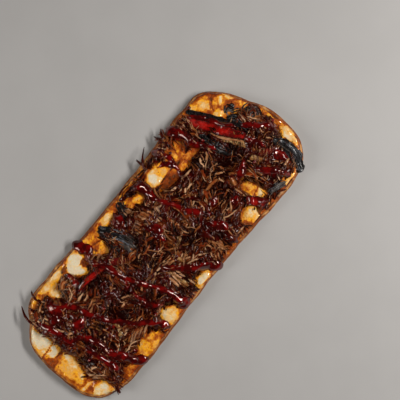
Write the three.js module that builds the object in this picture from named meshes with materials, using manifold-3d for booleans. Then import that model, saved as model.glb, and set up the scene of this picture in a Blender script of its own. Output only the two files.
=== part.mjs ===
// A long flatbread pizza, seen from above as an uneven rectangle with rounded ends: a thin baked base, a sheet of
// tomato sauce, melted cheese almost out to the rim, and a heap of pulled barbecue beef that leaves windows of cheese.
// Roasted red pepper, charred pepper and soft onion lie in the heap, and strokes of thick barbecue sauce cross it all.
// Millimetres, +Z up, X along the length. The base stands on z = 0.

import * as THREE from "three";
import { mergeVertices } from "three/addons/utils/BufferGeometryUtils.js";
import Module from "manifold-3d";

const wasm = await Module();
wasm.setup();

// Touching pieces keep this gap, and details finer than FINEST are merged.
const GAP = 0.3;
const FINEST = 0.08;

// The outline of the base, anticlockwise, and the profiles of the layers' edges: how far in from the outline, and how
// high. The base has a low rim round a flat bed.
const OUTLINE = [
  [-170, 18], [-170, -36], [-161, -54], [-142, -64], [-100, -67], [-40, -64], [40, -62], [134, -63],
  [156, -55], [168, -38], [172, -8], [164, 26], [153, 50], [139, 66], [112, 69], [50, 66], [-30, 64],
  [-100, 65], [-132, 63], [-150, 48], [-166, 33],
];
const OUTLINE_STEPS = 92;
const EDGE_WOBBLE = 0.7;
const BED = 8;
const BASE_PROFILE = [
  { inset: 6, z: 0 },
  { inset: 1.6, z: 0.5 },
  { inset: 0, z: 3.4 },
  { inset: 0.4, z: 7 },
  { inset: 2.2, z: 9.1 },
  { inset: 4.4, z: BED },
];
const SAUCE_THICK = 0.8;
const SAUCE_PROFILE = [
  { inset: 5.4, z: BED + GAP },
  { inset: 5.4, z: BED + GAP + SAUCE_THICK },
];
const CHEESE_FLOOR = BED + SAUCE_THICK + 2 * GAP;
const CHEESE_THICK = 2.4;
const CHEESE_PROFILE = [
  { inset: 3.4, z: CHEESE_FLOOR },
  { inset: 3.2, z: CHEESE_FLOOR + 0.9 },
  { inset: 6.5, z: CHEESE_FLOOR + CHEESE_THICK + 1.5 },
];
const CHEESE_WAVE = 0.7;
const CHEESE_CELL = 12;

// The heap of beef: thin near its margin and thickest along the middle, with clumps.
const HEAP_INSET = 5;
const HEAP_LOW = 3.2;
const HEAP_CROWN = 8.6;
const HEAP_CLUMP = 1.9;
const HEAP_SLOPE = 6;
const HEAP_CELL = 9.5;
const HALF_WIDTH = 66;

// Windows in the heap where the cheese shows: centre, half sizes, and turn in degrees.
const WINDOWS = [
  { x: -165, y: 22, rx: 18, ry: 34, turn: 0 },
  { x: -162, y: -13, rx: 18, ry: 20, turn: 0 },
  { x: -153, y: -50, rx: 10, ry: 10, turn: 0 },
  { x: -130, y: 61, rx: 20, ry: 7, turn: 0 },
  { x: -103, y: 60, rx: 16, ry: 9, turn: 0 },
  { x: -109, y: 49, rx: 5, ry: 8, turn: 10 },
  { x: -73, y: 50, rx: 11, ry: 14, turn: 0 },
  { x: -46, y: 52, rx: 11, ry: 15, turn: 20 },
  { x: -19, y: 58, rx: 17, ry: 7, turn: 0 },
  { x: 13, y: 46, rx: 10, ry: 6, turn: -25 },
  { x: 48, y: 46, rx: 16, ry: 9, turn: 0 },
  { x: 66, y: 33, rx: 28, ry: 5, turn: 0 },
  { x: 76, y: 47, rx: 11, ry: 9, turn: 0 },
  { x: 137, y: 54, rx: 24, ry: 26, turn: 0 },
  { x: 154, y: 32, rx: 16, ry: 10, turn: -30 },
  { x: 169, y: 4, rx: 6, ry: 24, turn: 0 },
  { x: 163, y: -33, rx: 7, ry: 17, turn: 0 },
  { x: 130, y: -58, rx: 9, ry: 4, turn: 0 },
  { x: 97, y: -38, rx: 7, ry: 12, turn: 15 },
  { x: 77, y: -52, rx: 10, ry: 9, turn: 0 },
  { x: 0, y: -56, rx: 10, ry: 6, turn: 0 },
  { x: -50, y: -55, rx: 11, ry: 10, turn: 0 },
  { x: -87, y: -58, rx: 18, ry: 10, turn: 0 },
  { x: -120, y: -61, rx: 10, ry: 8, turn: 0 },
];

// Flat toppings. Each lies from one point to another, bowed sideways, with its edges curled up and its back
// lifted above the heap.
const TOPPINGS = [
  { name: "red_pepper_1", from: [107, 61], to: [134, 2], bow: -1, width: 11, thick: 3, curl: 2, lift: 1.6 },
  { name: "red_pepper_2", from: [-91, 29], to: [-56, 26], bow: 3, width: 7.5, thick: 2.6, curl: 0.8, lift: 1.2 },
  { name: "red_pepper_3", from: [-87, 52], to: [-87, 33], bow: 0, width: 7, thick: 2.4, curl: 0.6, lift: 0.8 },
  { name: "red_pepper_4", from: [-126, 8], to: [-106, 7], bow: 1, width: 10, thick: 2.6, curl: 0.8, lift: 0.9 },
  { name: "red_pepper_5", from: [84, -38], to: [96, -56], bow: 1, width: 10, thick: 3, curl: -0.8, lift: 1.6 },
  { name: "red_pepper_6", from: [97, -20], to: [115, -9], bow: -1, width: 7, thick: 2.8, curl: -0.6, lift: 1.6 },
  { name: "red_pepper_7", from: [126, -19], to: [145, -31], bow: 2, width: 7, thick: 2.4, curl: 0.6, lift: 0.9 },
  { name: "red_pepper_8", from: [-53, 25], to: [-37, 14], bow: 2, width: 9, thick: 2.4, curl: 0.6, lift: 0.7 },
  { name: "charred_pepper_1", from: [148, -20], to: [143, -63], bow: 6, width: 13, thick: 2.6, curl: -1.6, lift: 1.6 },
  { name: "charred_pepper_2", from: [105, 39], to: [111, 2], bow: -1, width: 8, thick: 2.4, curl: 1.2, lift: 0.8 },
  { name: "charred_pepper_3", from: [115, 65], to: [144, 3], bow: 0, width: 5.5, thick: 3, curl: 1, lift: 2 },
  { name: "charred_pepper_4", from: [-34, 56], to: [-22, 17], bow: 3, width: 13, thick: 2.4, curl: -1.6, lift: 1.2 },
  { name: "charred_pepper_5", from: [-5, 43], to: [2, 58], bow: 1, width: 7, thick: 2.4, curl: 0.8, lift: 0.8 },
  { name: "charred_pepper_6", from: [145, 31], to: [151, 34], bow: 0, width: 5, thick: 2.2, curl: 0.6, lift: 1.4 },
  { name: "charred_pepper_7", from: [135, 28], to: [143, 22], bow: 1, width: 6, thick: 2.2, curl: 0.6, lift: 1 },
  { name: "charred_pepper_8", from: [105, -50], to: [124, -57], bow: 1, width: 8, thick: 2.4, curl: 1, lift: 0.9 },
  { name: "onion_1", from: [116, 21], to: [127, -5], bow: 1, width: 7, thick: 2.2, curl: 0.6, lift: 1 },
  { name: "onion_2", from: [-93, -11], to: [-99, -30], bow: 4, width: 6, thick: 2.2, curl: 0.8, lift: 0.9 },
  { name: "onion_3", from: [-18, -25], to: [-16, -49], bow: -1, width: 5, thick: 2, curl: 0.5, lift: 0.9 },
  { name: "onion_4", from: [-4, -19], to: [-1, -31], bow: 1, width: 4, thick: 2, curl: 0.5, lift: 0.8 },
  { name: "onion_5", from: [3, -15], to: [15, -9], bow: -2, width: 4, thick: 2, curl: 0.5, lift: 0.9 },
  { name: "onion_6", from: [119, -13], to: [126, -26], bow: 1, width: 6, thick: 2, curl: 0.6, lift: 0.8 },
];
const TOPPING_STEPS = 5;
const TOPPING_SPANS = 2;

// Strokes of thick barbecue sauce, poured back and forth across the width.
const STROKES = [
  { from: [-141, 40], to: [-101, -65], bow: 2, width: 5 },
  { from: [-129, -14], to: [-125, -52], bow: 1, width: 3.2 },
  { from: [-120, 48], to: [-58, -63], bow: -2, width: 4.4 },
  { from: [-60, 65], to: [-32, -60], bow: 3, width: 5 },
  { from: [-57, -12], to: [-46, -42], bow: -4, width: 3 },
  { from: [-18, -18], to: [19, -61], bow: 0, width: 5 },
  { from: [24, 54], to: [52, -42], bow: -1, width: 4.8 },
  { from: [57, 50], to: [66, 26], bow: 1, width: 3.6 },
  { from: [87, 66], to: [104, 18], bow: -1, width: 6 },
  { from: [116, -26], to: [132, -56], bow: 1, width: 4.2 },
  { from: [131, 1], to: [139, -18], bow: -1, width: 3.2 },
  { from: [140, 13], to: [157, -18], bow: 4, width: 3.6 },
];
const STROKE_STEP = 10;
const STROKE_SIDES = 5;
const STROKE_SWAY = 1.2;

// Shreds of beef laid over the heap, and long stray ones that hang over the cheese or past the rim.
const SHRED_COUNT = 76;
const SHRED_LENGTH = [16, 34];
const SHRED_WIDTH = [1.9, 3.2];
const SHRED_STEPS = 3;
const SHRED_SIDES = 3;
const SHRED_SEED = 10;
const EVEN_SPREAD = [0.7549, 0.5698];
const STRAYS = [
  { from: [-144, 38], to: [-141, 65], bow: -2 },
  { from: [-134, 48], to: [-136, 58], bow: 1 },
  { from: [-124, 52], to: [-123, 67], bow: 2 },
  { from: [-136, -40], to: [-156, -26], bow: 1 },
  { from: [-134, -50], to: [-151, -36], bow: -1 },
  { from: [-132, -28], to: [-147, -14], bow: 3 },
  { from: [-130, -56], to: [-143, -66], bow: -3 },
  { from: [49, 55], to: [46, 72], bow: 2 },
  { from: [42, 57], to: [59, 73], bow: 2 },
  { from: [73, 57], to: [75, 74], bow: -1 },
  { from: [76, 56], to: [85, 73], bow: 2 },
];
const STRAY_WIDTH = 1.7;
const STRAY_LIFT = 1.8;

/**
 * A repeatable source of random numbers.
 * @param {number} seed
 * @returns {() => number} gives the next number from 0 to 1
 */
function randomSource(seed) {
  let state = seed;
  return () => {
    state = (state + 0x6d2b79f5) | 0;
    let mixed = Math.imul(state ^ (state >>> 15), 1 | state);
    mixed = (mixed + Math.imul(mixed ^ (mixed >>> 7), 61 | mixed)) ^ mixed;
    return ((mixed ^ (mixed >>> 14)) >>> 0) / 2 ** 32;
  };
}

/** Three crossed waves of about the given length, from -1 to 1. */
function waves(x, y, length, seed) {
  let sum = 0;
  for (let k = 0; k < 3; k++) {
    const turn = seed * 1.7 + k * 2.1;
    const along = x * Math.cos(turn) + y * Math.sin(turn);
    sum += Math.sin((2 * Math.PI * along) / (length * (1 + 0.35 * k)) + seed * (k + 1));
  }
  return sum / 3;
}

/** An even run of points on a smooth closed curve through OUTLINE. */
function rimPoints() {
  const curve = new THREE.CatmullRomCurve3(
    OUTLINE.map(([x, y]) => new THREE.Vector3(x, y, 0)),
    true,
  );
  return curve.getSpacedPoints(OUTLINE_STEPS).slice(0, OUTLINE_STEPS);
}

const RIM = rimPoints();

/** The outline moved inwards, with a slight wobble of its own, at a height z. */
function ringInside(inset, z) {
  return RIM.map((point, i) => {
    const before = RIM[(i + RIM.length - 1) % RIM.length];
    const after = RIM[(i + 1) % RIM.length];
    const along = after.clone().sub(before).normalize();
    const by = inset + EDGE_WOBBLE * waves(point.x, point.y, 24, 4);
    return new THREE.Vector3(point.x - along.y * by, point.y + along.x * by, z);
  });
}

/** How far a point is inside the outline, negative outside it. */
function insideBy(x, y) {
  let nearest = Infinity;
  let inside = false;
  RIM.forEach((a, i) => {
    const b = RIM[(i + 1) % RIM.length];
    const dx = b.x - a.x;
    const dy = b.y - a.y;
    const t = THREE.MathUtils.clamp(((x - a.x) * dx + (y - a.y) * dy) / (dx * dx + dy * dy), 0, 1);
    nearest = Math.min(nearest, Math.hypot(x - a.x - t * dx, y - a.y - t * dy));
    const crosses = a.y > y !== b.y > y && x < a.x + ((y - a.y) * dx) / dy;
    if (crosses) inside = !inside;
  });
  return inside ? nearest : -nearest;
}

/** The height of the melted cheese. */
function cheeseTop(x, y) {
  return CHEESE_FLOOR + CHEESE_THICK + CHEESE_WAVE * waves(x, y, 34, 2);
}

/** How far a point is inside the heap of beef, negative in a window or past the heap's margin. */
function heapField(x, y) {
  let field = insideBy(x, y) - HEAP_INSET;
  for (const w of WINDOWS) {
    const turn = THREE.MathUtils.degToRad(w.turn);
    const u = ((x - w.x) * Math.cos(turn) + (y - w.y) * Math.sin(turn)) / w.rx;
    const v = ((y - w.y) * Math.cos(turn) - (x - w.x) * Math.sin(turn)) / w.ry;
    field = Math.min(field, (Math.hypot(u, v) - 1) * Math.min(w.rx, w.ry));
  }
  return field + 1.4 * waves(x, y, 13, 5);
}

/** The height of the bare heap, which dips under the cheese in a window. */
function heapTop(x, y) {
  const crown = Math.max(1 - (y / HALF_WIDTH) ** 2, 0);
  const clumps = HEAP_CLUMP * (waves(x, y, 26, 3) + 0.5 * waves(x, y, 15, 8));
  const height = THREE.MathUtils.lerp(HEAP_LOW, HEAP_CROWN, crown) + clumps;
  const covered = THREE.MathUtils.smoothstep(heapField(x, y), -1, HEAP_SLOPE);
  return cheeseTop(x, y) - 1 + covered * (height + 1);
}

/** What a topping or a stroke of sauce rests on. */
function ground(x, y) {
  return Math.max(heapTop(x, y), cheeseTop(x, y));
}

/**
 * A closed skin over rings of points, with a fan over each end.
 * @param {THREE.Vector3[][]} rings equal in length, each anticlockwise about the way that they follow each other
 * @returns {THREE.BufferGeometry}
 */
function skin(rings) {
  const count = rings[0].length;
  const middle = (ring) => ring.reduce((sum, p) => sum.add(p), new THREE.Vector3()).divideScalar(ring.length);
  const points = [...rings.flat(), middle(rings[0]), middle(rings.at(-1))];
  const start = points.length - 2;
  const last = (rings.length - 1) * count;
  const faces = [];
  for (let i = 0; i < count; i++) {
    const next = (i + 1) % count;
    for (let a = 0; a < last; a += count) {
      const b = a + count;
      faces.push(a + i, a + next, b + next, a + i, b + next, b + i);
    }
    faces.push(start, next, i, start + 1, last + i, last + next);
  }
  const geometry = new THREE.BufferGeometry().setFromPoints(points);
  geometry.setIndex(faces);
  return geometry;
}

/** The solid of a closed geometry. */
function solidOf(geometry) {
  const bare = geometry.clone();
  bare.deleteAttribute("normal");
  bare.deleteAttribute("uv");
  const merged = mergeVertices(bare, 1e-4);
  return new wasm.Manifold(
    new wasm.Mesh({
      numProp: 3,
      vertProperties: merged.attributes.position.array,
      triVerts: new Uint32Array(merged.index.array),
    }),
  );
}

/** The largest body of a solid with its finest facets merged, because a boolean can leave scraps and slivers. */
function cleaned(solid) {
  const bodies = solid.asOriginal().simplify(FINEST).decompose();
  return bodies.reduce((best, body) => (body.volume() > best.volume() ? body : best));
}

/** A layer inside the outline, from the profile of its edge. */
function layer(profile) {
  return solidOf(skin(profile.map(({ inset, z }) => ringInside(inset, z))));
}

/** A block under a relief, past the outline all round, its facets as uneven as the food. */
function reliefBlock(top, floor, cell) {
  const box = new THREE.Box3().setFromPoints(RIM).expandByScalar(cell);
  const size = box.getSize(new THREE.Vector3());
  const middle = box.getCenter(new THREE.Vector3());
  const columns = Math.ceil(size.x / cell);
  const rows = Math.ceil(size.y / cell);
  const geometry = new THREE.BoxGeometry(size.x, size.y, 1, columns, rows, 1);
  const position = geometry.attributes.position;
  for (let i = 0; i < position.count; i++) {
    const evenX = position.getX(i) + middle.x;
    const evenY = position.getY(i) + middle.y;
    const x = evenX + 0.3 * cell * waves(evenX, evenY, 2.7 * cell, 1);
    const y = evenY + 0.3 * cell * waves(evenX, evenY, 2.9 * cell, 4);
    position.setXYZ(i, x, y, position.getZ(i) > 0 ? top(x, y) : floor);
  }
  return solidOf(geometry);
}

/** Points on a route over the food: bowed and swaying sideways, at the height that rest(x, y) gives. */
function route({ from, to, bow }, steps, rest, sway = 0) {
  const start = new THREE.Vector2(...from);
  const way = new THREE.Vector2(...to).sub(start);
  const side = new THREE.Vector2(-way.y, way.x).normalize();
  return Array.from({ length: steps + 1 }, (_, i) => {
    const t = i / steps;
    const out = bow * Math.sin(Math.PI * t) + sway * Math.sin(0.21 * t * way.length() + start.x);
    const { x, y } = start.clone().addScaledVector(way, t).addScaledVector(side, out);
    return new THREE.Vector3(x, y, rest(x, y));
  });
}

/** At each point of a path: the way on, the level way to its left, and the way up. */
function framesAlong(path) {
  return path.map((point, i) => {
    const on = path[Math.min(i + 1, path.length - 1)].clone().sub(path[Math.max(i - 1, 0)]).normalize();
    const left = new THREE.Vector3(0, 0, 1).cross(on).normalize();
    return { point, on, left, up: on.clone().cross(left) };
  });
}

/** A point beside and above a frame's own point. */
function placed(frame, left, up) {
  return frame.point.clone().addScaledVector(frame.left, left).addScaledVector(frame.up, up);
}

/** A strand along a path that tapers at both ends, oval in section. */
function strand(path, width, thick, sides) {
  const rings = framesAlong(path).map((frame, i) => {
    const t = THREE.MathUtils.lerp(0.06, 0.94, i / (path.length - 1));
    const taper = 0.35 + 0.65 * Math.sqrt(Math.sin(Math.PI * t));
    return Array.from({ length: sides }, (_, k) => {
      const angle = (2 * Math.PI * k) / sides + Math.PI / 2;
      return placed(frame, (Math.cos(angle) * width * taper) / 2, (Math.sin(angle) * thick * taper) / 2);
    });
  });
  return solidOf(skin(rings));
}

/** A flat topping with its edges curled, grown all round by the amount given. */
function toppingSolid(topping, grow) {
  const { width, thick, curl, lift } = topping;
  const path = route(topping, TOPPING_STEPS, (x, y) => ground(x, y) + lift - thick / 2);
  const frames = framesAlong(path);
  frames[0].point.addScaledVector(frames[0].on, -grow);
  frames.at(-1).point.addScaledVector(frames.at(-1).on, grow);
  const rings = frames.map((frame, i) => {
    const t = i / TOPPING_STEPS;
    const half = (width / 2) * THREE.MathUtils.lerp(0.62, 1, Math.sin(Math.PI * t) ** 0.6) + grow;
    const across = Array.from({ length: TOPPING_SPANS + 1 }, (_, k) => 1 - (2 * k) / TOPPING_SPANS);
    const reach = (s) => (thick / 2) * (1 - 0.45 * s * s) + grow;
    const upper = across.map((s) => placed(frame, s * half, curl * s * s + reach(s)));
    const lower = across.map((s) => placed(frame, -s * half, curl * s * s - reach(s)));
    return [...upper, ...lower];
  });
  return solidOf(skin(rings));
}

/** The strokes of sauce, each half sunk in what it lies on. */
function strokeSolids() {
  return STROKES.map((stroke) => {
    const length = Math.hypot(stroke.to[0] - stroke.from[0], stroke.to[1] - stroke.from[1]);
    const rest = (x, y) => ground(x, y) + 0.2 * stroke.width;
    const path = route(stroke, Math.round(length / STROKE_STEP), rest, STROKE_SWAY);
    return strand(path, stroke.width, 0.7 * stroke.width, STROKE_SIDES);
  });
}

/** Shreds of beef, spread evenly over the heap and lying much as their neighbours lie. */
function shredSolids() {
  const random = randomSource(SHRED_SEED);
  const between = ([low, high]) => THREE.MathUtils.lerp(low, high, random());
  const box = new THREE.Box3().setFromPoints(RIM);
  const shreds = [];
  for (let n = 1; shreds.length < SHRED_COUNT; n++) {
    const x = THREE.MathUtils.lerp(box.min.x, box.max.x, (n * EVEN_SPREAD[0]) % 1);
    const y = THREE.MathUtils.lerp(box.min.y, box.max.y, (n * EVEN_SPREAD[1]) % 1);
    const half = between(SHRED_LENGTH) / 2;
    const width = between(SHRED_WIDTH);
    const angle = Math.PI * waves(x, y, 60, 6) + between([-0.7, 0.7]);
    const from = [x - half * Math.cos(angle), y - half * Math.sin(angle)];
    const to = [x + half * Math.cos(angle), y + half * Math.sin(angle)];
    const bow = between([-4, 4]);
    if ([from, to, [x, y]].some(([u, v]) => heapField(u, v) < 1)) continue;
    const path = route({ from, to, bow }, SHRED_STEPS, (u, v) => heapTop(u, v) + 0.35 * width);
    shreds.push(strand(path, width, 0.8 * width, SHRED_SIDES));
  }
  return shreds;
}

/** Long stray shreds that leave the heap. */
function straySolids() {
  return STRAYS.map((stray) => {
    const path = route(stray, SHRED_STEPS, (x, y) => cheeseTop(x, y) + STRAY_LIFT);
    return strand(path, STRAY_WIDTH, 0.9 * STRAY_WIDTH, SHRED_SIDES);
  });
}

/** A named mesh of a solid. */
function meshOf(name, solid, look) {
  const { vertProperties, triVerts } = solid.getMesh();
  const geometry = new THREE.BufferGeometry();
  geometry.setAttribute("position", new THREE.Float32BufferAttribute(vertProperties, 3));
  geometry.setIndex([...triVerts]);
  geometry.computeVertexNormals();
  const mesh = new THREE.Mesh(geometry, look);
  mesh.name = name;
  return mesh;
}

const LOOKS = {
  crust: new THREE.MeshStandardMaterial({ color: 0xc98f4e, roughness: 0.85, metalness: 0 }),
  sauce: new THREE.MeshStandardMaterial({ color: 0xa83a12, roughness: 0.5, metalness: 0 }),
  cheese: new THREE.MeshStandardMaterial({ color: 0xeab35a, roughness: 0.35, metalness: 0 }),
  beef: new THREE.MeshStandardMaterial({ color: 0x4a2416, roughness: 0.35, metalness: 0 }),
  red: new THREE.MeshStandardMaterial({ color: 0x9c0f0c, roughness: 0.2, metalness: 0 }),
  charred: new THREE.MeshStandardMaterial({ color: 0x17120f, roughness: 0.3, metalness: 0 }),
  onion: new THREE.MeshStandardMaterial({ color: 0xc7ab77, roughness: 0.35, metalness: 0 }),
};

const cheese = cleaned(layer(CHEESE_PROFILE).intersect(reliefBlock(cheeseTop, 0, CHEESE_CELL)));
const cheeseBed = reliefBlock((x, y) => cheeseTop(x, y) + GAP, -10, CHEESE_CELL);

// Each topping is trimmed by the cheese and by the toppings before it, and the heap then by them all. The first word
// of a topping's name is its look.
let taken = cheeseBed;
const toppings = TOPPINGS.map((topping) => {
  const solid = cleaned(toppingSolid(topping, 0).subtract(taken));
  taken = taken.add(toppingSolid(topping, GAP));
  return meshOf(topping.name, solid, LOOKS[topping.name.split("_")[0]]);
});
const heap = wasm.Manifold.union([
  reliefBlock(heapTop, 0, HEAP_CELL),
  ...shredSolids(),
  ...straySolids(),
  ...strokeSolids(),
]);

const pizza = new THREE.Group();
pizza.add(
  meshOf("crust", layer(BASE_PROFILE), LOOKS.crust),
  meshOf("tomato_sauce", layer(SAUCE_PROFILE), LOOKS.sauce),
  meshOf("cheese", cheese, LOOKS.cheese),
  meshOf("pulled_beef", cleaned(heap.subtract(taken)), LOOKS.beef),
  ...toppings,
);

// The origin is under the middle of the whole.
const middle = new THREE.Box3().setFromObject(pizza).getCenter(new THREE.Vector3());
pizza.position.set(-middle.x, -middle.y, 0);

export default pizza;
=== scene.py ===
"""A long flatbread pizza with pulled barbecue beef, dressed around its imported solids.

The plan of the pizza is laid out in millimetres, as its solids are: X along the length, Y across it and Z up
from the surface that it rests on. Meshes are made in metres, moved by the same small shift as the solids.
"""

import logging
import math
from dataclasses import dataclass, field
from enum import Enum
from typing import Sequence

import bmesh
import bpy
import numpy as np
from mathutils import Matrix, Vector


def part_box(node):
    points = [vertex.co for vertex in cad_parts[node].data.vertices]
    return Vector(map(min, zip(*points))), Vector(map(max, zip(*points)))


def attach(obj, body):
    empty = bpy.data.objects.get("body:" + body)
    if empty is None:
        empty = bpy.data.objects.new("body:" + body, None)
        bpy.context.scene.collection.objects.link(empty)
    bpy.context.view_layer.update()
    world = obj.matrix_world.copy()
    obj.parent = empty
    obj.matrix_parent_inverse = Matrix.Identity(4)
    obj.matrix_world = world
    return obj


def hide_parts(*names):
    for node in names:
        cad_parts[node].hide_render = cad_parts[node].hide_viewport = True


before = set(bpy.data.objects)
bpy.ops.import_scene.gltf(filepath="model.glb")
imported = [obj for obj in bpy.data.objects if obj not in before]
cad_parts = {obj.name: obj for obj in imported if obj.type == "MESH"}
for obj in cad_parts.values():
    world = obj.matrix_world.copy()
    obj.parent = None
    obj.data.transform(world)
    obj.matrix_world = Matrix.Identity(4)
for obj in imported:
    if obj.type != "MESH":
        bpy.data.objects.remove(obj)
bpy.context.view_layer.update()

log = logging.getLogger("pizza")

MM = 0.001
Array = np.ndarray
Colour = tuple[float, float, float]
Point = tuple[float, float]
Piece = bpy.types.Object
Material = bpy.types.Material
Tree = bpy.types.NodeTree
Socket = bpy.types.NodeSocket
Painted = dict[str, Socket]
Given = dict[str | int, object]

# The outline of the base, anticlockwise, and the heights and depths of the layers, as in the solids.
OUTLINE: list[Point] = [
    (-170, 18), (-170, -36), (-161, -54), (-142, -64), (-100, -67), (-40, -64), (40, -62), (134, -63),
    (156, -55), (168, -38), (172, -8), (164, 26), (153, 50), (139, 66), (112, 69), (50, 66), (-30, 64),
    (-100, 65), (-132, 63), (-150, 48), (-166, 33),
]
EDGE_WOBBLE = 0.7
BED = 8.0
CHEESE_FLOOR = 9.4
CHEESE_THICK = 2.4
CHEESE_WAVE = 0.7
HEAP_INSET = 5.0
HEAP_LOW = 3.2
HEAP_CROWN = 8.6
HEAP_CLUMP = 1.9
HEAP_SLOPE = 6.0
HALF_WIDTH = 66.0
SPINE = 104.0

# Half the field that the heap is scattered over, and steps that fill it evenly.
REACH_X = 176.0
REACH_Y = 70.0
EVEN_STEPS = (0.7548776662, 0.5698402910)

GRAIN_CELLS = 64
# How far apart on a noise two strands read it, and how far along a strand it changes by one, in metres.
STRANDS_APART = 97.0
RIDGE_LENGTH = 0.009


def waves(x: Array, y: Array, length: float, seed: int) -> Array:
    """Three crossed waves.

    Args:
        x: the X of points of the plan.
        y: their Y.
        length: about how long the waves are.
        seed: which waves.

    Returns:
        Their mean at each point, from -1 to 1.
    """
    total = np.zeros_like(np.asarray(x, float))
    for k in range(3):
        turn = seed * 1.7 + k * 2.1
        along = x * math.cos(turn) + y * math.sin(turn)
        total = total + np.sin(2 * math.pi * along / (length * (1 + 0.35 * k)) + seed * (k + 1))
    return total / 3


def smoothstep(value: Array, low: float, high: float) -> Array:
    """0 below low, 1 above high, and smooth between."""
    t = np.clip((value - low) / (high - low), 0, 1)
    return t * t * (3 - 2 * t)


@dataclass(frozen=True)
class Grain:
    """Uneven relief from -1 to 1 without a repeat that shows: smoothed random values on a turned grid."""

    size: float
    seed: int
    octaves: int = 2

    def at(self, x: Array, y: Array) -> Array:
        """The relief at points of the plan.

        Args:
            x: the points' X.
            y: the points' Y.

        Returns:
            The values there.
        """
        x, y = np.asarray(x, float), np.asarray(y, float)
        table = np.random.default_rng(self.seed).uniform(-1, 1, (GRAIN_CELLS, GRAIN_CELLS))
        total, weight, size = np.zeros(np.broadcast(x, y).shape), 0.0, self.size
        for octave in range(self.octaves):
            turn = self.seed + 0.9 * octave
            u = (x * math.cos(turn) - y * math.sin(turn)) / size + 17.3 * octave
            v = (x * math.sin(turn) + y * math.cos(turn)) / size
            i, j = np.floor(u).astype(int), np.floor(v).astype(int)
            a, b = smoothstep(u - i, 0, 1), smoothstep(v - j, 0, 1)
            i, j, next_i, next_j = (cell % GRAIN_CELLS for cell in (i, j, i + 1, j + 1))
            low = table[i, j] * (1 - a) + table[next_i, j] * a
            high = table[i, next_j] * (1 - a) + table[next_i, next_j] * a
            total += (low * (1 - b) + high * b) * 0.5**octave
            weight += 0.5**octave
            size *= 0.5
        return total / weight


@dataclass(frozen=True)
class Oval:
    """An ellipse on the plan: centre, half sizes, and turn in degrees."""

    x: float
    y: float
    half_x: float
    half_y: float
    turn: float = 0.0

    def beyond(self, x: Array, y: Array) -> Array:
        """How far points are outside the ellipse.

        Args:
            x: the points' X.
            y: the points' Y.

        Returns:
            About their distances from it, negative inside it.
        """
        turn = math.radians(self.turn)
        u = ((x - self.x) * math.cos(turn) + (y - self.y) * math.sin(turn)) / self.half_x
        v = ((y - self.y) * math.cos(turn) - (x - self.x) * math.sin(turn)) / self.half_y
        return (np.hypot(u, v) - 1) * min(self.half_x, self.half_y)


# Windows in the heap of beef, where the cheese shows.
WINDOWS = [Oval(*row) for row in (
    (-165, 22, 18, 34), (-162, -13, 18, 20), (-153, -50, 10, 10), (-130, 61, 20, 7), (-103, 60, 16, 9),
    (-109, 49, 5, 8, 10), (-73, 50, 11, 14), (-46, 52, 11, 15, 20), (-19, 58, 17, 7), (13, 46, 10, 6, -25),
    (48, 46, 16, 9), (66, 33, 28, 5), (76, 47, 11, 9), (137, 54, 24, 26), (154, 32, 16, 10, -30),
    (169, 4, 6, 24), (163, -33, 7, 17), (130, -58, 9, 4), (97, -38, 7, 12, 15), (77, -52, 10, 9),
    (0, -56, 10, 6), (-50, -55, 11, 10), (-87, -58, 18, 10), (-120, -61, 10, 8), (-159, -36, 9, 5),
)]


class Tone(Enum):
    """How far melted cheese has baked, from milky white to dark brown."""

    WHITE = -0.06
    CREAM = 0.14
    TAN = 0.27
    YELLOW = 0.38
    ORANGE = 0.50
    OILY = 0.64
    BROWN = 0.80
    BURNT_AND_SHADED = 0.97


@dataclass(frozen=True)
class Patch:
    """A patch of cheese of one tone: where, and how high above the rest. Later ones cover earlier ones."""

    tone: Tone
    where: Oval
    swell: float


# How far the cheese has baked where there is no patch.
MELTED = 0.58


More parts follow.
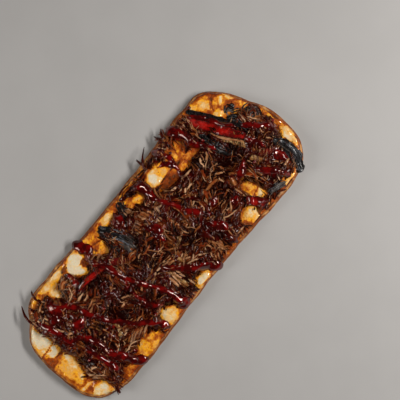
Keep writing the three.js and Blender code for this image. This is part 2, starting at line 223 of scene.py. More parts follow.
def melted_patches() -> list[Patch]:
    """The patches of cheese, from rows of a tone, how high it swells, and its oval.

    Returns:
        The patches, the lowest first.
    """
    white, cream, tan, yellow, orange, oily, brown, burnt = Tone
    rows = (
        (cream, 1.0, -157, 32, 17, 19, -35), (yellow, 0, -164, 23, 4, 4),
        (white, 0.5, -151, 31, 8, 13, -30), (brown, 0, -161, 16.5, 12, 0.9, 4), (oily, 0, -165, 5, 8, 9),
        (white, 0.8, -151, 11, 10, 5), (brown, 0, -152, 5.5, 6, 1.2, -8), (brown, 0, -163, 1.5, 8, 0.8, 6),
        (orange, 0, -163, -3, 6, 4), (yellow, 0.9, -157, -15, 10, 16), (cream, 0.5, -149, -7, 4, 7, -10),
        (orange, 0, -168, -18, 3.5, 18), (cream, 0.5, -152, -28, 5, 4), (cream, 0, -162, -36, 7, 1.6),
        (oily, 0, -163, -47, 6, 9, 30), (cream, 1.0, -150, -49, 8, 11, 35), (yellow, 0.8, -141, 53, 3.5, 5),
        (yellow, 0.6, -131, 61, 8, 5), (orange, 0.4, -121, 58, 8, 5), (orange, 0, -131, 53, 4, 4),
        (tan, 0.6, -104, 58, 16, 8), (cream, 0.3, -109, 48, 5, 11), (cream, 0.3, -98, 60, 6, 4),
        (brown, 0, -92, 56, 0.8, 5, 20), (cream, 0.5, -90, 58, 9, 7), (white, 1.1, -72, 51, 13, 16),
        (tan, 0, -68, 44, 6.5, 5), (oily, 0, -67, 44, 4.5, 3), (brown, 0, -68, 47.4, 6.5, 1.4),
        (brown, 0, -63.5, 44.5, 1.2, 4), (brown, 0, -43, 48.5, 8, 0.9, -14),
        (brown, 0, -50, 46, 0.9, 6, 14), (orange, 0.4, -48, 56, 10, 6), (cream, 0.5, -56, 42, 4, 3),
        (yellow, 0.8, -42, 40, 6, 6), (cream, 0.3, -43, 36, 3, 2), (burnt, 0, -46, 62, 6, 0.8, -3),
        (tan, 0.4, -21, 57, 13, 7), (cream, 0.2, -17, 56, 5, 4), (oily, 0.3, -27, 58, 4, 3),
        (oily, 0, -5, 60, 9, 4), (tan, 0.3, 15, 58, 12, 6), (tan, 0.5, 16, 45, 9, 5, -25),
        (cream, 0.2, 15, 45, 4, 2.5, -25), (burnt, 0, 15, 63.2, 12, 0.9), (cream, 0.5, 30, 57, 5, 4),
        (burnt, 0, 30, 56, 1.6, 1.3), (orange, 0.3, 50, 57, 14, 6), (oily, 0, 52, 60, 10, 2.5),
        (cream, 1.1, 42, 46, 11, 9), (white, 0.2, 41, 46, 5, 5), (yellow, 0.8, 54, 44, 6.5, 6.5),
        (oily, 0.3, 62, 32, 30, 7), (orange, 0.4, 75, 33, 6, 2.5), (brown, 0, 46, 31, 9, 2.5),
        # The burnt line at 63, 38 is painted shadow under the edge of a raised flap of cheese, in a crease.
        (burnt, 0, 63, 38, 28, 0.8, -1), (orange, 0.6, 75, 46, 6, 4.5), (oily, 0.3, 87, 44, 7, 6),
        (oily, 0, 88, 31, 8, 6), (orange, 0.3, 137, 56, 17, 8, -22), (tan, 0.4, 132, 52, 4, 9, 25),
        (tan, 0, 121, 60, 4, 3), (tan, 0, 149, 50, 3, 5, 35), (cream, 0.3, 131, 53, 2, 6, 20),
        (oily, 0, 137, 51, 2, 7, -50), (oily, 0, 127, 44, 2, 6, 25), (cream, 0.7, 146, 46, 9, 2.2, 36),
        (tan, 0.6, 133, 39, 7, 6), (cream, 0.2, 132, 40, 3, 4), (oily, 0, 144, 61, 8, 2, -35),
        # The narrow brown patches at 139, 52 and 134, 46 are folds, their dark partly painted shade.
        (orange, 0.3, 142, 40, 6, 2, 30), (yellow, 0, 135, 29, 3, 7), (brown, 0, 139, 52, 6, 0.8, 42),
        (brown, 0, 134, 46, 4, 0.7, 70), (oily, 0, 152, 35, 8, 5, -30), (yellow, 0.4, 156, 26, 6, 4, -40),
        (cream, 0.4, 154, 44, 3, 8, 20), (orange, 0, 134, 30, 5, 4), (cream, 0.5, 163, -2, 4, 5),
        (orange, 0.3, 165, -15, 3, 6), (cream, 0.8, 161, -32, 8, 18), (white, 0.3, 160, -25, 3, 6),
        (yellow, 0.5, 98, -34, 7, 9), (orange, 0.2, 95, -31, 3, 5, 20), (oily, 0, 99, -41, 7, 1.4, 20),
        (cream, 0.5, 101, -47, 5, 5), (tan, 0.9, 77, -50, 11, 10), (cream, 0.4, 80, -51, 6, 5, 30),
        (yellow, 0.2, 71, -50, 3, 5), (oily, 0, 69, -54, 4, 5), (cream, 0.5, 131, -59, 7, 3),
        (yellow, 0, 137, -57, 3, 3), (white, 0.9, -1, -54, 12, 7), (cream, 1.0, -52, -53, 12, 12),
        (yellow, 0.4, -43, -57, 3, 6), (orange, 0.4, -84, -57, 16, 8), (yellow, 0.5, -92, -54, 6, 6),
        (yellow, 0.2, -80, -61, 5, 3), (oily, 0, -72, -51, 4, 5), (oily, 0, -120, -61, 7, 4),
        (oily, 0, -43, -45, 5, 3), (oily, 0, -62, -38, 5, 3), (burnt, 0, 79, -59.6, 6, 0.8),
        (burnt, 0, 97, -60.4, 5, 0.8), (burnt, 0, 112, -61, 5, 0.8), (burnt, 0, 128, -60.4, 7, 0.8),
        (brown, 0, 162, 30, 1.6, 8, -18), (brown, 0, 168, -8, 1.3, 10), (burnt, 0, 166, -36, 1.3, 4, 10),
        (brown, 0, 126, 40, 1.0, 14, 22), (oily, 0, 147, 52, 2, 9, 35), (brown, 0, 158, -34, 0.9, 13),
        (brown, 0, -72, 62.4, 22, 0.7), (burnt, 0, 58, 47.4, 5, 0.7, -35), (brown, 0, 77, 46, 0.8, 5, -20),
    )
    return [Patch(tone, Oval(*oval), swell) for tone, swell, *oval in rows]


PATCHES = melted_patches()


@dataclass(frozen=True)
class Stretch:
    """A straight line on the plan with a sideways bow, which a topping or a strand follows."""

    start: Point
    end: Point
    bow: float

    def points(self, steps: int) -> Array:
        """Points along the stretch, on the plan.

        Args:
            steps: how many steps lie between them.

        Returns:
            The points, from start to end.
        """
        t = np.linspace(0, 1, steps + 1)[:, None]
        start, end = np.array(self.start, float), np.array(self.end, float)
        way = end - start
        side = np.array([-way[1], way[0]]) / np.hypot(*way)
        return start + way * t + side * self.bow * np.sin(math.pi * t)


class Kind(Enum):
    """The kinds of flat topping, each with its own finish."""

    RED_PEPPER = "red_pepper"
    CHARRED_PEPPER = "charred_pepper"
    ONION = "onion"


@dataclass(frozen=True)
class Slice:
    """A flat topping: its number among its kind, and its lie and section as in the solids.

    Roast is how far it has roasted, and fade how much less so towards its far end.
    """

    kind: Kind
    number: int
    lie: Stretch
    width: float
    thick: float
    curl: float
    lift: float
    roast: float
    fade: float = 0.0

    @property
    def node(self) -> str:
        """The name of its solid."""
        return f"{self.kind.value}_{self.number}"


def laid_slices() -> list[Slice]:
    """The flat toppings, from rows of two ends and a bow, then width, thickness and the rest.

    Returns:
        The toppings, kind by kind.
    """
    rows = {
        Kind.RED_PEPPER: (
            ((107, 61), (134, 2), -1, 11, 3, 2, 1.6, 0.22),
            ((-91, 29), (-56, 26), 3, 7.5, 2.6, 0.8, 1.2, 0.35),
            ((-87, 52), (-87, 33), 0, 7, 2.4, 0.6, 0.8, 0.7),
            ((-126, 8), (-106, 7), 1, 10, 2.6, 0.8, 0.9, 0.8),
            ((84, -38), (96, -56), 1, 10, 3, -0.8, 1.6, 0.6),
            ((97, -20), (115, -9), -1, 7, 2.8, -0.6, 1.6, 0.6),
            ((126, -19), (145, -31), 2, 7, 2.4, 0.6, 0.9, 0.8),
            ((-53, 25), (-37, 14), 2, 9, 2.4, 0.6, 0.7, 0.85),
        ),
        Kind.CHARRED_PEPPER: (
            ((148, -20), (143, -63), 6, 13, 2.6, -1.6, 1.6, 0.45),
            ((105, 39), (111, 2), -1, 8, 2.4, 1.2, 0.8, 0.8),
            ((115, 65), (144, 3), 0, 5.5, 3, 1, 2, 1.0),
            ((-34, 56), (-22, 17), 3, 13, 2.4, -1.6, 1.2, 0.15, 1.0),
            ((-5, 43), (2, 58), 1, 7, 2.4, 0.8, 0.8, 0.9),
            ((145, 31), (151, 34), 0, 5, 2.2, 0.6, 1.4, 0.8),
            ((135, 28), (143, 22), 1, 6, 2.2, 0.6, 1, 0.6),
            ((105, -50), (124, -57), 1, 8, 2.4, 1, 0.9, 0.3),
        ),
        Kind.ONION: (
            ((116, 21), (127, -5), 1, 7, 2.2, 0.6, 1, 0.35),
            ((-93, -11), (-99, -30), 4, 6, 2.2, 0.8, 0.9, 0.3),
            ((-18, -25), (-16, -49), -1, 5, 2, 0.5, 0.9, 0.4),
            ((-4, -19), (-1, -31), 1, 4, 2, 0.5, 0.8, 0.3),
            ((3, -15), (15, -9), -2, 4, 2, 0.5, 0.9, 0.5),
            ((119, -13), (126, -26), 1, 6, 2, 0.6, 0.8, 0.6),
        ),
    }
    return [
        Slice(kind, number, Stretch(start, end, bow), *rest)
        for kind, lies in rows.items()
        for number, (start, end, bow, *rest) in enumerate(lies, 1)
    ]


SLICES = laid_slices()


@dataclass(frozen=True)
class Pour:
    """A stroke of thick sauce through points on the plan, each with the stroke's width there."""

    through: Sequence[tuple[float, float, float]]


POURS = [Pour(points) for points in (
    ((-141, 40, 3), (-137, 27, 6), (-135, 15, 4), (-134, 6, 3.5), (-121, -3, 3), (-118, -12, 5),
     (-117, -20, 4.5), (-119, -32, 3.5), (-113, -41, 7), (-109, -54, 8.5), (-101, -65, 9)),
    ((-129, -12, 2.5), (-127, -28, 4), (-126, -40, 5), (-125, -50, 3)),
    ((-118, 44, 9), (-114, 36, 8), (-109, 30, 5), (-104, 20, 4), (-101, 8, 5), (-98, 0, 4), (-92, -12, 3),
     (-86, -22, 4), (-78, -33, 4), (-70, -42, 5), (-65, -50, 7), (-61, -60, 7.5)),
    ((-58, 65, 8), (-57, 58, 8), (-53, 51, 8), (-61, 45, 4), (-61, 38, 5), (-57, 31, 5), (-54, 22, 4),
     (-52, 12, 4.5), (-50, 2, 3.5), (-45, -10, 4.5), (-41, -20, 3), (-36, -30, 4.5), (-33, -42, 4.5),
     (-34, -52, 8), (-31, -60, 8)),
    ((-57, -12, 2), (-57, -24, 2.5), (-55, -33, 4), (-48, -41, 4.5)),
    ((-18, -19, 4), (-12, -27, 5), (-6, -35, 6), (2, -43, 5), (9, -50, 8), (15, -57, 9), (20, -61, 7)),
    ((27, 53, 10), (28, 45, 11), (27, 38, 6), (29, 29, 4), (32, 20, 5), (35, 12, 4), (39, 2, 5),
     (43, -4, 5), (48, -13, 4)),
    ((46, -26, 4), (48, -33, 7), (52, -36, 6), (51, -42, 6)),
    ((56, 48, 2.5), (61, 47, 4), (64, 42, 5), (65, 36, 4), (63, 27, 4)),
    ((62, 63, 7), (66, 55, 5), (68, 47, 4), (67, 38, 3.5)),
    ((89, 66, 9), (91, 58, 10), (93, 48, 7), (94, 38, 5), (98, 32, 4), (101, 24, 4), (104, 18, 3)),
    ((116, -27, 4), (121, -35, 5), (126, -42, 6), (130, -50, 5), (132, -56, 3)),
    ((131, 2, 3), (133, -5, 4.5), (137, -9, 3), (138, -17, 4)),
    ((114, 58, 2), (118, 51, 3.5), (121, 44, 2.2), (124, 39, 3.6), (127, 32, 2.4), (131, 25, 3.2),
     (134, 18, 2)),
    ((139, 12, 4), (146, 5, 4), (152, -2, 4), (157, -8, 6), (158, -18, 5)),
    ((3, 18, 4), (6, 13, 8), (5, 6, 5)),
    ((1, 8, 3), (3, 3, 4.5), (2, -2, 3)),
)]

# Flat puddles of sauce.
POOLS = [Oval(*row) for row in (
    (-57, 58, 5, 7), (-13, 46, 6, 6), (-33, -57, 7, 5), (141, -35, 4, 7, 20), (-104, -61, 5, 5),
    (-118, 36, 7, 9, 20), (-128, 31, 5, 4), (78, -30, 4, 4), (63, -14, 4, 3), (103, -17, 6, 3.6, 30),
    (-116, 10, 6, 3, -10),
)]

# Long shreds that hang over the cheese or past the rim.
STRAYS = [Stretch(*row) for row in (
    ((-144, 38), (-141, 66), 4), ((-134, 48), (-136, 58), 1), ((-124, 52), (-123, 67), 2),
    ((-136, -40), (-156, -26), 1), ((-134, -50), (-151, -36), -1), ((-132, -28), (-147, -14), 3),
    ((-130, -56), (-143, -66), -3), ((49, 55), (46, 72), 2), ((42, 57), (59, 73), 2),
    ((73, 57), (75, 74), -1), ((76, 56), (85, 73), 2),
)]


class Shade(Enum):
    """How dark a clump of beef has cooked, as its place on the ramp from burnt to dry."""

    # Near black: burnt beef, and painted shade where burnt clumps lie in the heap's hollows and gaps.
    BURNT_AND_SHADED = 0.0
    DARK = 0.16
    BROWN = 0.27
    RUSTY = 0.37
    TAN = 0.50
    DRY = 0.70


@dataclass(frozen=True)
class Clump:
    """A clump of beef whose shreds lie much the same way: centre, angle in degrees, and shade."""

    x: float
    y: float
    angle: float
    shade: Shade


def heaped_clumps() -> list[Clump]:
    """The clumps of the heap, from rows of a centre, an angle and a shade.

    Returns:
        The clumps.
    """
    burnt, dark, brown, rusty, tan, dry = Shade
    rows = (
        (-137, 44, 82, dry), (-120, 47, 60, dark), (-145, 22, -15, tan), (-142, 4, -55, brown),
        (-130, 24, 70, dark), (-128, -38, 86, brown), (-143, -41, -48, tan), (-141, -57, -65, brown),
        (-112, 21, -42, tan), (-99, 41, 15, dry), (-106, -18, 65, rusty), (-115, -38, 80, dark),
        (-95, -36, -4, tan), (-88, 10, 30, rusty), (-82, -32, -5, tan), (-80, -8, 50, burnt),
        (-66, -12, -52, rusty), (-72, 12, 30, burnt), (-66, 4, 25, brown), (-54, 8, 85, rusty),
        (-60, -28, -60, burnt), (-40, 6, 60, brown), (-30, 14, 10, rusty), (-34, -18, 35, brown),
        (-42, -34, 20, dark), (-25, -46, 84, brown), (-24, 0, 25, burnt), (-11, -13, -6, brown),
        (-6, 30, 70, rusty), (8, -30, 10, tan), (12, 22, 75, rusty), (9, -8, 35, tan), (24, 24, 38, tan),
        (24, -6, 60, tan), (20, -22, 15, burnt), (30, -45, 68, tan), (39, -36, 88, burnt),
        (42, 18, -20, brown), (56, 2, 52, tan), (60, -28, 6, brown), (54, -50, 80, brown),
        (72, 14, 38, brown), (72, -12, 60, dark), (84, 2, -6, brown), (92, -16, 82, rusty),
        (100, -4, -50, burnt), (96, 20, 70, brown), (101, 50, 88, rusty), (80, 62, 40, dark),
        (20, 60, 5, dark), (112, -38, 86, brown), (130, -36, 30, brown), (146, -10, 32, brown),
        (156, 10, 65, tan), (114, 6, 50, burnt), (62, -44, 15, dark), (104, -58, 20, dark),
        # The burnt clumps from here on lie in dark hollows and gaps of the heap, their near black painted
        # shade.
        (-58, -4, 70, burnt), (-30, 3, 20, burnt), (-14, 10, 25, burnt), (107, 22, 80, burnt),
        (39, -54, 80, burnt), (-113, -6, 60, burnt), (-80, 22, 30, burnt), (-82, -20, 20, burnt),
        (-63, -31, 0, burnt), (28, -26, 20, burnt), (-45, -28, 40, dark),
    )
    return [Clump(*row) for row in rows]


CLUMPS = heaped_clumps()


@dataclass(frozen=True)
class Lock:
    """Long shreds side by side on top of the heap: their middle line, number, spacing and thickness."""

    lie: Stretch
    count: int
    spacing: float
    thick: float
    shade: float


def locks_along(*rows: tuple[object, ...]) -> list[Lock]:
    """Locks from rows of two ends, a bow, a number, a spacing, a thickness and a shade."""
    return [Lock(Stretch(start, end, bow), *rest) for start, end, bow, *rest in rows]


LOCKS = locks_along(
    ((-156, -26), (-137, -42), 2, 2, 3.4, 1.9, 0.62), ((-149, -13), (-138, -22), 2, 1, 0, 1.6, 0.15),
    ((-157, -29), (-140, -39), -1, 1, 0, 1.3, 0.12), ((-149, -34), (-138, -46), 1, 2, 2.2, 2.6, 0.88),
    ((-151, -38), (-139, -48), -1, 1, 0, 1.4, 0.15), ((-146, -46), (-138, -59), 2, 2, 3.0, 1.8, 0.6),
    ((-139, 51), (-138, 32), -1, 3, 4.4, 1.8, 0.85), ((-129, 50), (-131, 35), 1, 2, 3.6, 1.6, 0.78),
    ((-144, 31), (-141, 8), 1, 3, 3.4, 1.7, 0.55), ((-134, 5), (-133, -20), 1, 2, 3.6, 1.8, 0.5),
    ((-133, -24), (-131, -58), -1, 3, 3.2, 1.7, 0.6), ((-122, 31), (-107, 18), 2, 3, 3.4, 1.6, 0.8),
    ((-148, 3), (-135, -8), 1, 3, 3.0, 2.4, 0.45), ((-108, 2), (-104, -26), 3, 3, 3.2, 2.0, 0.62),
    ((-117, -22), (-114, -40), 1, 2, 3, 1.5, 0.5), ((-95, -30), (-76, -29), 2, 2, 4.0, 1.5, 0.88),
    ((-97, -37), (-76, -35), -2, 2, 3.4, 1.6, 0.8), ((-89, -42), (-77, -43), 1, 3, 2.8, 2.6, 0.66),
    ((-140, -45), (-141, -66), 1, 3, 2.8, 1.8, 0.5), ((-104, 46), (-96, 34), -3, 3, 3.2, 1.7, 0.85),
    ((-100, 50), (-104, 33), 3, 2, 3.6, 1.5, 0.8), ((-94, 16), (-82, 6), 2, 3, 3.2, 1.8, 0.62),
    ((-98, 6), (-88, 14), 2, 2, 3.4, 1.5, 0.7), ((-72, -4), (-57, -17), 2, 1, 0, 2.2, 0.85),
    ((-72, -6), (-61, -23), -1, 1, 0, 2.4, 0.8), ((-73, 2), (-61, 10), 3, 1, 0, 2.2, 0.68),
    ((-53, -7), (-56, -17), 0, 1, 0, 1.2, 0.7), ((-51, -20), (-45, -12), 1, 1, 0, 2.0, 0.9),
    ((-49, -22), (-46, -17), 0, 1, 0, 1.8, 0.95), ((-60, 16), (-50, 15), 1, 1, 0, 1.8, 0.72),
    ((-59, 12), (-50, 11), 0, 3, 3.0, 2.6, 0.6), ((-61, 17), (-60, 3), -1, 1, 0, 1.4, 0.75),
    ((-71, -37), (-61, -41), 0, 3, 2.6, 2.6, 0.48), ((-31, 3), (-17, 9), 2, 1, 0, 1.6, 0.85),
    ((-35, 14), (-22, 11), 1, 4, 2.8, 2.8, 0.66), ((-27, -2), (-30, -9), 1, 1, 0, 1.5, 0.8),
    ((-21, -12), (-4, -16), -1, 1, 0, 1.3, 0.85), ((-14, -4), (-4, -6), 1, 2, 3.0, 1.3, 0.82),
    ((-18, -17), (-4, -18), -2, 2, 3.0, 1.3, 0.8), ((-38, 34), (-40, 22), 1, 2, 3.6, 1.5, 0.85),
    ((-42, 8), (-36, -4), 2, 3, 3.2, 1.7, 0.6), ((-38, -14), (-29, -19), 2, 3, 3.4, 1.8, 0.7),
    ((-27, -28), (-30, -44), 2, 3, 3.2, 1.7, 0.6), ((-8, 32), (-5, 20), 2, 3, 3.2, 2.4, 0.68),
    ((1, 54), (3, 29), -2, 3, 3.0, 1.6, 0.85), ((18, 20), (30, 30), 3, 1, 0, 2.2, 0.88),
    ((12, 36), (10, 22), 1, 3, 3.4, 2.4, 0.6), ((38, 17), (46, 23), 1, 3, 3.4, 1.6, 0.82),
    ((41, 9), (52, 11), 1, 2, 3.6, 1.5, 0.8), ((17, 4), (25, 9), 1, 2, 3.4, 1.8, 0.72),
    ((5, 2), (12, -6), 2, 2, 3.4, 1.5, 0.75), ((24, -13), (32, -10), 1, 2, 3.0, 1.7, 0.82),
    ((25, -3), (33, -9), 1, 2, 3.0, 1.6, 0.72), ((33, -34), (25, -52), 6, 3, 3.4, 1.7, 0.72),
    ((34, -42), (30, -52), -4, 1, 0, 1.6, 0.8), ((17, -36), (27, -33), 1, 2, 3.4, 1.5, 0.6),
    ((2, -28), (9, -31), 0, 2, 3.0, 2.0, 0.85), ((52, -40), (51, -54), 1, 2, 3.6, 1.6, 0.8),
    ((56, -32), (69, -29), 2, 2, 3.2, 1.7, 0.82), ((58, -26), (67, -27), -2, 1, 0, 1.5, 0.85),
    ((50, -4), (48, -14), 2, 2, 3.4, 1.6, 0.7), ((55, -20), (62, -9), -1, 3, 3.4, 1.6, 0.72),
    ((66, 15), (69, 0), -2, 2, 3.6, 1.6, 0.72), ((46, 2), (58, 6), 2, 2, 3.4, 1.5, 0.68),
    ((73, 14), (88, 21), 2, 1, 0, 1.8, 0.82), ((74, 1), (88, -3), 1, 4, 2.8, 1.4, 0.72),
    ((92, 12), (95, -3), 2, 2, 3.4, 1.5, 0.6), ((76, 72), (79, 56), 2, 3, 3.0, 1.8, 0.6),
    ((84, 71), (80, 55), -2, 2, 3.0, 1.8, 0.62), ((99, 62), (97, 37), -2, 1, 0, 1.8, 0.95),
    ((112, 34), (128, 2), -2, 1, 0, 2.4, 0.92), ((132, 2), (136, -8), -1, 1, 0, 1.8, 0.92),
    ((119, 55), (124, 44), 1, 1, 0, 1.1, 0.30), ((129, 33), (134, 24), 1, 1, 0, 1.1, 0.35),
    ((84, -20), (94, -25), 1, 3, 3.2, 1.6, 0.6), ((108, -28), (110, -46), 1, 4, 3.0, 1.5, 0.68),
    ((118, -28), (124, -45), 2, 3, 3.2, 1.6, 0.75), ((130, -30), (137, -40), 1, 2, 3.4, 1.6, 0.85),
    ((148, 15), (161, 6), 3, 2, 3.2, 1.5, 0.45), ((160, 20), (152, 2), 3, 3, 3.4, 1.4, 0.2),
    ((138, -8), (150, -16), 2, 3, 3.0, 1.5, 0.62), ((63, -48), (58, -60), 1, 3, 3.0, 1.6, 0.6),
    ((-25, -48), (-22, -61), 1, 3, 3.0, 1.6, 0.65), ((-21, -27), (-22, -44), 1, 2, 3.2, 2.8, 0.95),
    ((-14, -26), (-13, -40), -1, 2, 3.0, 2.6, 0.9), ((-19, -52), (-17, -60), 0, 2, 3.0, 2.0, 0.85),
    ((-37, 47), (-41, 33), 2, 2, 3.2, 1.8, 0.35), ((-30, 35), (-31, 17), 1, 3, 3.2, 1.6, 0.7),
    ((-17, 40), (-15, 22), 1, 3, 3.0, 1.8, 0.3), ((-24, 52), (-21, 36), 1, 2, 2.6, 1.4, 0.45),
    ((-36, 52), (-34, 37), 1, 3, 2.6, 2.0, 0.20), ((-29, 54), (-28, 40), -1, 2, 3.0, 1.6, 0.34),
    ((-20, 47), (-17, 31), -1, 3, 2.6, 2.0, 0.16), ((6, 59.5), (23, 61), 1.5, 2, 2.2, 1.6, 0.30),
    ((24, 59), (35, 55), 3, 1, 0, 1.7, 0.55), ((25, 54), (34, 58), -3, 1, 0, 1.5, 0.20),
    ((10, 34), (14, 22), 1, 2, 3.0, 3.0, 0.55), ((13, 16), (17, 4), 1, 2, 3.0, 2.6, 0.5),
)

# Charred shreds and tatters of skin, black to ash grey; a few pale grey ones are painted glints.
ASH_AND_GLINTS = locks_along(
    ((-36, 38), (-35, 20), 1, 3, 2.4, 2.2, 0.20), ((-27, 32), (-25, 15), 1, 4, 2.4, 2.6, 0.55),
    ((-19, 34), (-18, 19), 1, 3, 2.4, 2.2, 0.35), ((-31, 27), (-22, 22), 1, 2, 3.0, 1.4, 0.72),
    ((138, 32), (146, 37), 1, 2, 1.8, 1.5, 0.0), ((144, 38), (147, 30), 1, 2, 1.8, 1.4, 0.0),
    ((136, 30), (143, 24), -1, 3, 1.8, 1.5, 0.04), ((134, 26), (143, 17), -2, 3, 2.2, 1.7, 0.05),
    # The two pale thin shreds here are painted glints on the charred bits.
    ((138, 29), (141, 34), 0, 1, 0, 0.9, 0.90), ((136, 24), (141, 20), 1, 1, 0, 0.9, 0.85),
    ((140, 35), (146, 27), 1, 2, 2.2, 1.6, 0.75), ((142, 30), (151, 24), 1, 2, 2.6, 1.6, 0.20),
    ((115, 62), (127, 33), 0, 2, 1.3, 2.0, 0.0), ((125, 37), (140, 5), 1, 2, 1.8, 1.8, 0.02),
    ((107, 44), (108, 20), -1, 2, 2.6, 2.0, 0.05), ((103, 34), (105, 8), 1, 2, 2.4, 2.0, 0.10),
    ((106, -52), (125, -58), 1, 3, 2.4, 1.8, 0.60), ((148, -24), (152, -50), 2, 2, 3.4, 1.2, 0.45),
    ((149, 17), (163, 10), 3, 3, 2.8, 1.8, 0.55), ((161, 19), (153, 4), 3, 3, 3.2, 1.6, 0.05),
    ((147, 19), (161, 20), 2, 3, 2.2, 1.6, 0.30), ((147, 3), (162, 13), -2, 3, 2.6, 1.5, 0.10),
    ((151, 19), (165, 14), 2, 2, 2.6, 1.0, 0.85), ((156, 17), (160, 6), 2, 3, 2.4, 0.9, 0.80),
    ((148, 11), (156, 14), -1, 2, 2.4, 1.0, 0.80), ((150, 10), (158, 4), 1, 2, 2.8, 1.8, 0.55),
    ((-6, 42), (1, 60), 1, 2, 2.4, 1.8, 0.15), ((-103, 45), (-97, 33), -3, 3, 3.0, 1.8, 0.60),
    # The pale lock at -142, -23 is a painted glint.
    ((-142, -23), (-137, -29), 1, 2, 2.2, 2.4, 0.85), ((-137, 46), (-135, 33), 1, 2, 3.2, 1.8, 0.65),
    ((2, 46), (4, 56), 1, 2, 2.6, 1.8, 0.20),
)


def smooth_curve(points: Array, closed: bool, samples: int) -> Array:
    """A smooth curve through points, in even steps.

    Args:
        points: the points, one a row.
        closed: whether the last point joins the first.
        samples: how many points to return.

    Returns:
        Points at even distances along a centripetal Catmull-Rom curve.
    """
    if closed:
        knots = np.vstack([points[-1], points, points[:2]])
    else:
        knots = np.vstack([2 * points[0] - points[1], points, 2 * points[-1] - points[-2]])
    fine: list[Array] = []
    t = np.linspace(0, 1, 40, endpoint=False)[:, None]
    for p0, p1, p2, p3 in zip(knots, knots[1:], knots[2:], knots[3:]):
        d0, d1, d2 = (np.linalg.norm(b - a) ** 0.5 for a, b in ((p0, p1), (p1, p2), (p2, p3)))
        m1 = d1 * ((p1 - p0) / d0 - (p2 - p0) / (d0 + d1) + (p2 - p1) / d1)
        m2 = d1 * ((p2 - p1) / d1 - (p3 - p1) / (d1 + d2) + (p3 - p2) / d2)
        fine.append(p1 + m1 * t + (3 * (p2 - p1) - 2 * m1 - m2) * t**2 + (2 * (p1 - p2) + m1 + m2) * t**3)
    fine.append(knots[-2][None, :])
    curve = np.vstack(fine)
    along = np.concatenate([[0], np.cumsum(np.linalg.norm(np.diff(curve, axis=0), axis=1))])
    wanted = np.linspace(0, along[-1], samples, endpoint=not closed)
    return np.stack([np.interp(wanted, along, column) for column in curve.T], axis=1)


def leftward(path: Array) -> Array:
    """The way to the left of a path, at each of its points."""
    ahead = np.gradient(path[:, :2], axis=0)
    return np.column_stack([-ahead[:, 1], ahead[:, 0]]) / np.linalg.norm(ahead, axis=1)[:, None]


def raised(plan: Array, z: Array) -> Array:
    """Points of the plan with their heights."""
    return np.concatenate([plan, z[..., None]], axis=-1)


@dataclass
class Rim:
    """Evenly spaced points of the outline, with the way from each to the long middle line."""

    steps: int
    points: Array = field(init=False)
    inward: Array = field(init=False)
    far: Array = field(init=False)

    def __post_init__(self) -> None:
        """Works out the points and their ways inward."""
        self.points = smooth_curve(np.array(OUTLINE, float), True, self.steps)
        middle = np.stack([np.clip(self.points[:, 0], -SPINE, SPINE), np.zeros(self.steps)], axis=1)
        way = middle - self.points
        self.far = np.linalg.norm(way, axis=1)
        self.inward = way / self.far[:, None]

    def inside(self, inset: Array | float) -> Array:
        """The points moved inwards, at most to just short of the middle line."""
        return self.points + self.inward * np.minimum(inset, 0.98 * self.far)[:, None]

    def ring(self, inset: Array | float, z: float) -> Array:
        """The points moved inwards, at one height."""
        return np.column_stack([self.inside(inset), np.full(self.steps, z)])


@dataclass
class Plan:
    """The pizza seen from above: its rim, and the heights of its cheese and its heap of beef."""

    rim: Array = field(default_factory=lambda: Rim(184).points)

    def inside_by(self, x: Array, y: Array) -> Array:
        """How far points are inside the rim.

        Args:
            x: the points' X.
            y: the points' Y.

        Returns:
            Their distances from the rim, negative outside it.
        """
        x, y = np.asarray(x, float), np.asarray(y, float)
        nearest = np.full(x.shape, np.inf)
        inside = np.zeros(x.shape, bool)
        for (ax, ay), (bx, by) in zip(self.rim, np.roll(self.rim, -1, axis=0)):
            dx, dy = bx - ax, by - ay
            t = np.clip(((x - ax) * dx + (y - ay) * dy) / (dx * dx + dy * dy), 0, 1)
            nearest = np.minimum(nearest, np.hypot(x - ax - t * dx, y - ay - t * dy))
            if dy:
                inside ^= ((ay > y) != (by > y)) & (x < ax + (y - ay) * dx / dy)
        return np.where(inside, nearest, -nearest)

    def cheese_top(self, x: Array, y: Array) -> Array:
        """The height of the melted cheese."""
        return CHEESE_FLOOR + CHEESE_THICK + CHEESE_WAVE * waves(x, y, 34, 2)

    def heap_field(self, x: Array, y: Array) -> Array:
        """How far points are inside the heap of beef.

        Args:
            x: the points' X.
            y: the points' Y.

        Returns:
            Their distances from its edge, negative in a window or past its margin.
        """
        depth = self.inside_by(x, y) - HEAP_INSET
        for window in WINDOWS:
            depth = np.minimum(depth, window.beyond(x, y))
        return depth + 1.4 * waves(x, y, 13, 5)

    def heap_top(self, x: Array, y: Array) -> Array:
        """The height of the bare heap.

        Args:
            x: the points' X.
            y: the points' Y.

        Returns:
            Their heights, which dip under the cheese in a window.
        """
        crown = np.maximum(1 - (y / HALF_WIDTH) ** 2, 0)
        height = HEAP_LOW + (HEAP_CROWN - HEAP_LOW) * crown
        height = height + HEAP_CLUMP * (waves(x, y, 26, 3) + 0.5 * waves(x, y, 15, 8))
        covered = smoothstep(self.heap_field(x, y), -1, HEAP_SLOPE)
        return self.cheese_top(x, y) - 1 + covered * (height + 1)

    def ground(self, x: Array, y: Array) -> Array:
        """What a topping, a strand or a stroke of sauce rests on."""
        return np.maximum(self.heap_top(x, y), self.cheese_top(x, y))


PLAN = Plan()


def cad_shift() -> Array:
    """The small shift that centres the solids on the origin.

    Returns:
        Its X, Y and Z in mm.
    """
    low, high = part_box("crust")
    middle = (PLAN.rim.min(axis=0) + PLAN.rim.max(axis=0)) / 2
    return np.array([(low.x + high.x) / 2 / MM - middle[0], (low.y + high.y) / 2 / MM - middle[1], 0])


SHIFT = cad_shift()


def linked(name: str, data: bpy.types.ID) -> Piece:
    """Puts an object into the scene.

    Args:
        name: its name.
        data: its mesh, light or camera.

    Returns:
        The object.
    """
    made = bpy.data.objects.new(name, data)
    bpy.context.scene.collection.objects.link(made)
    return made


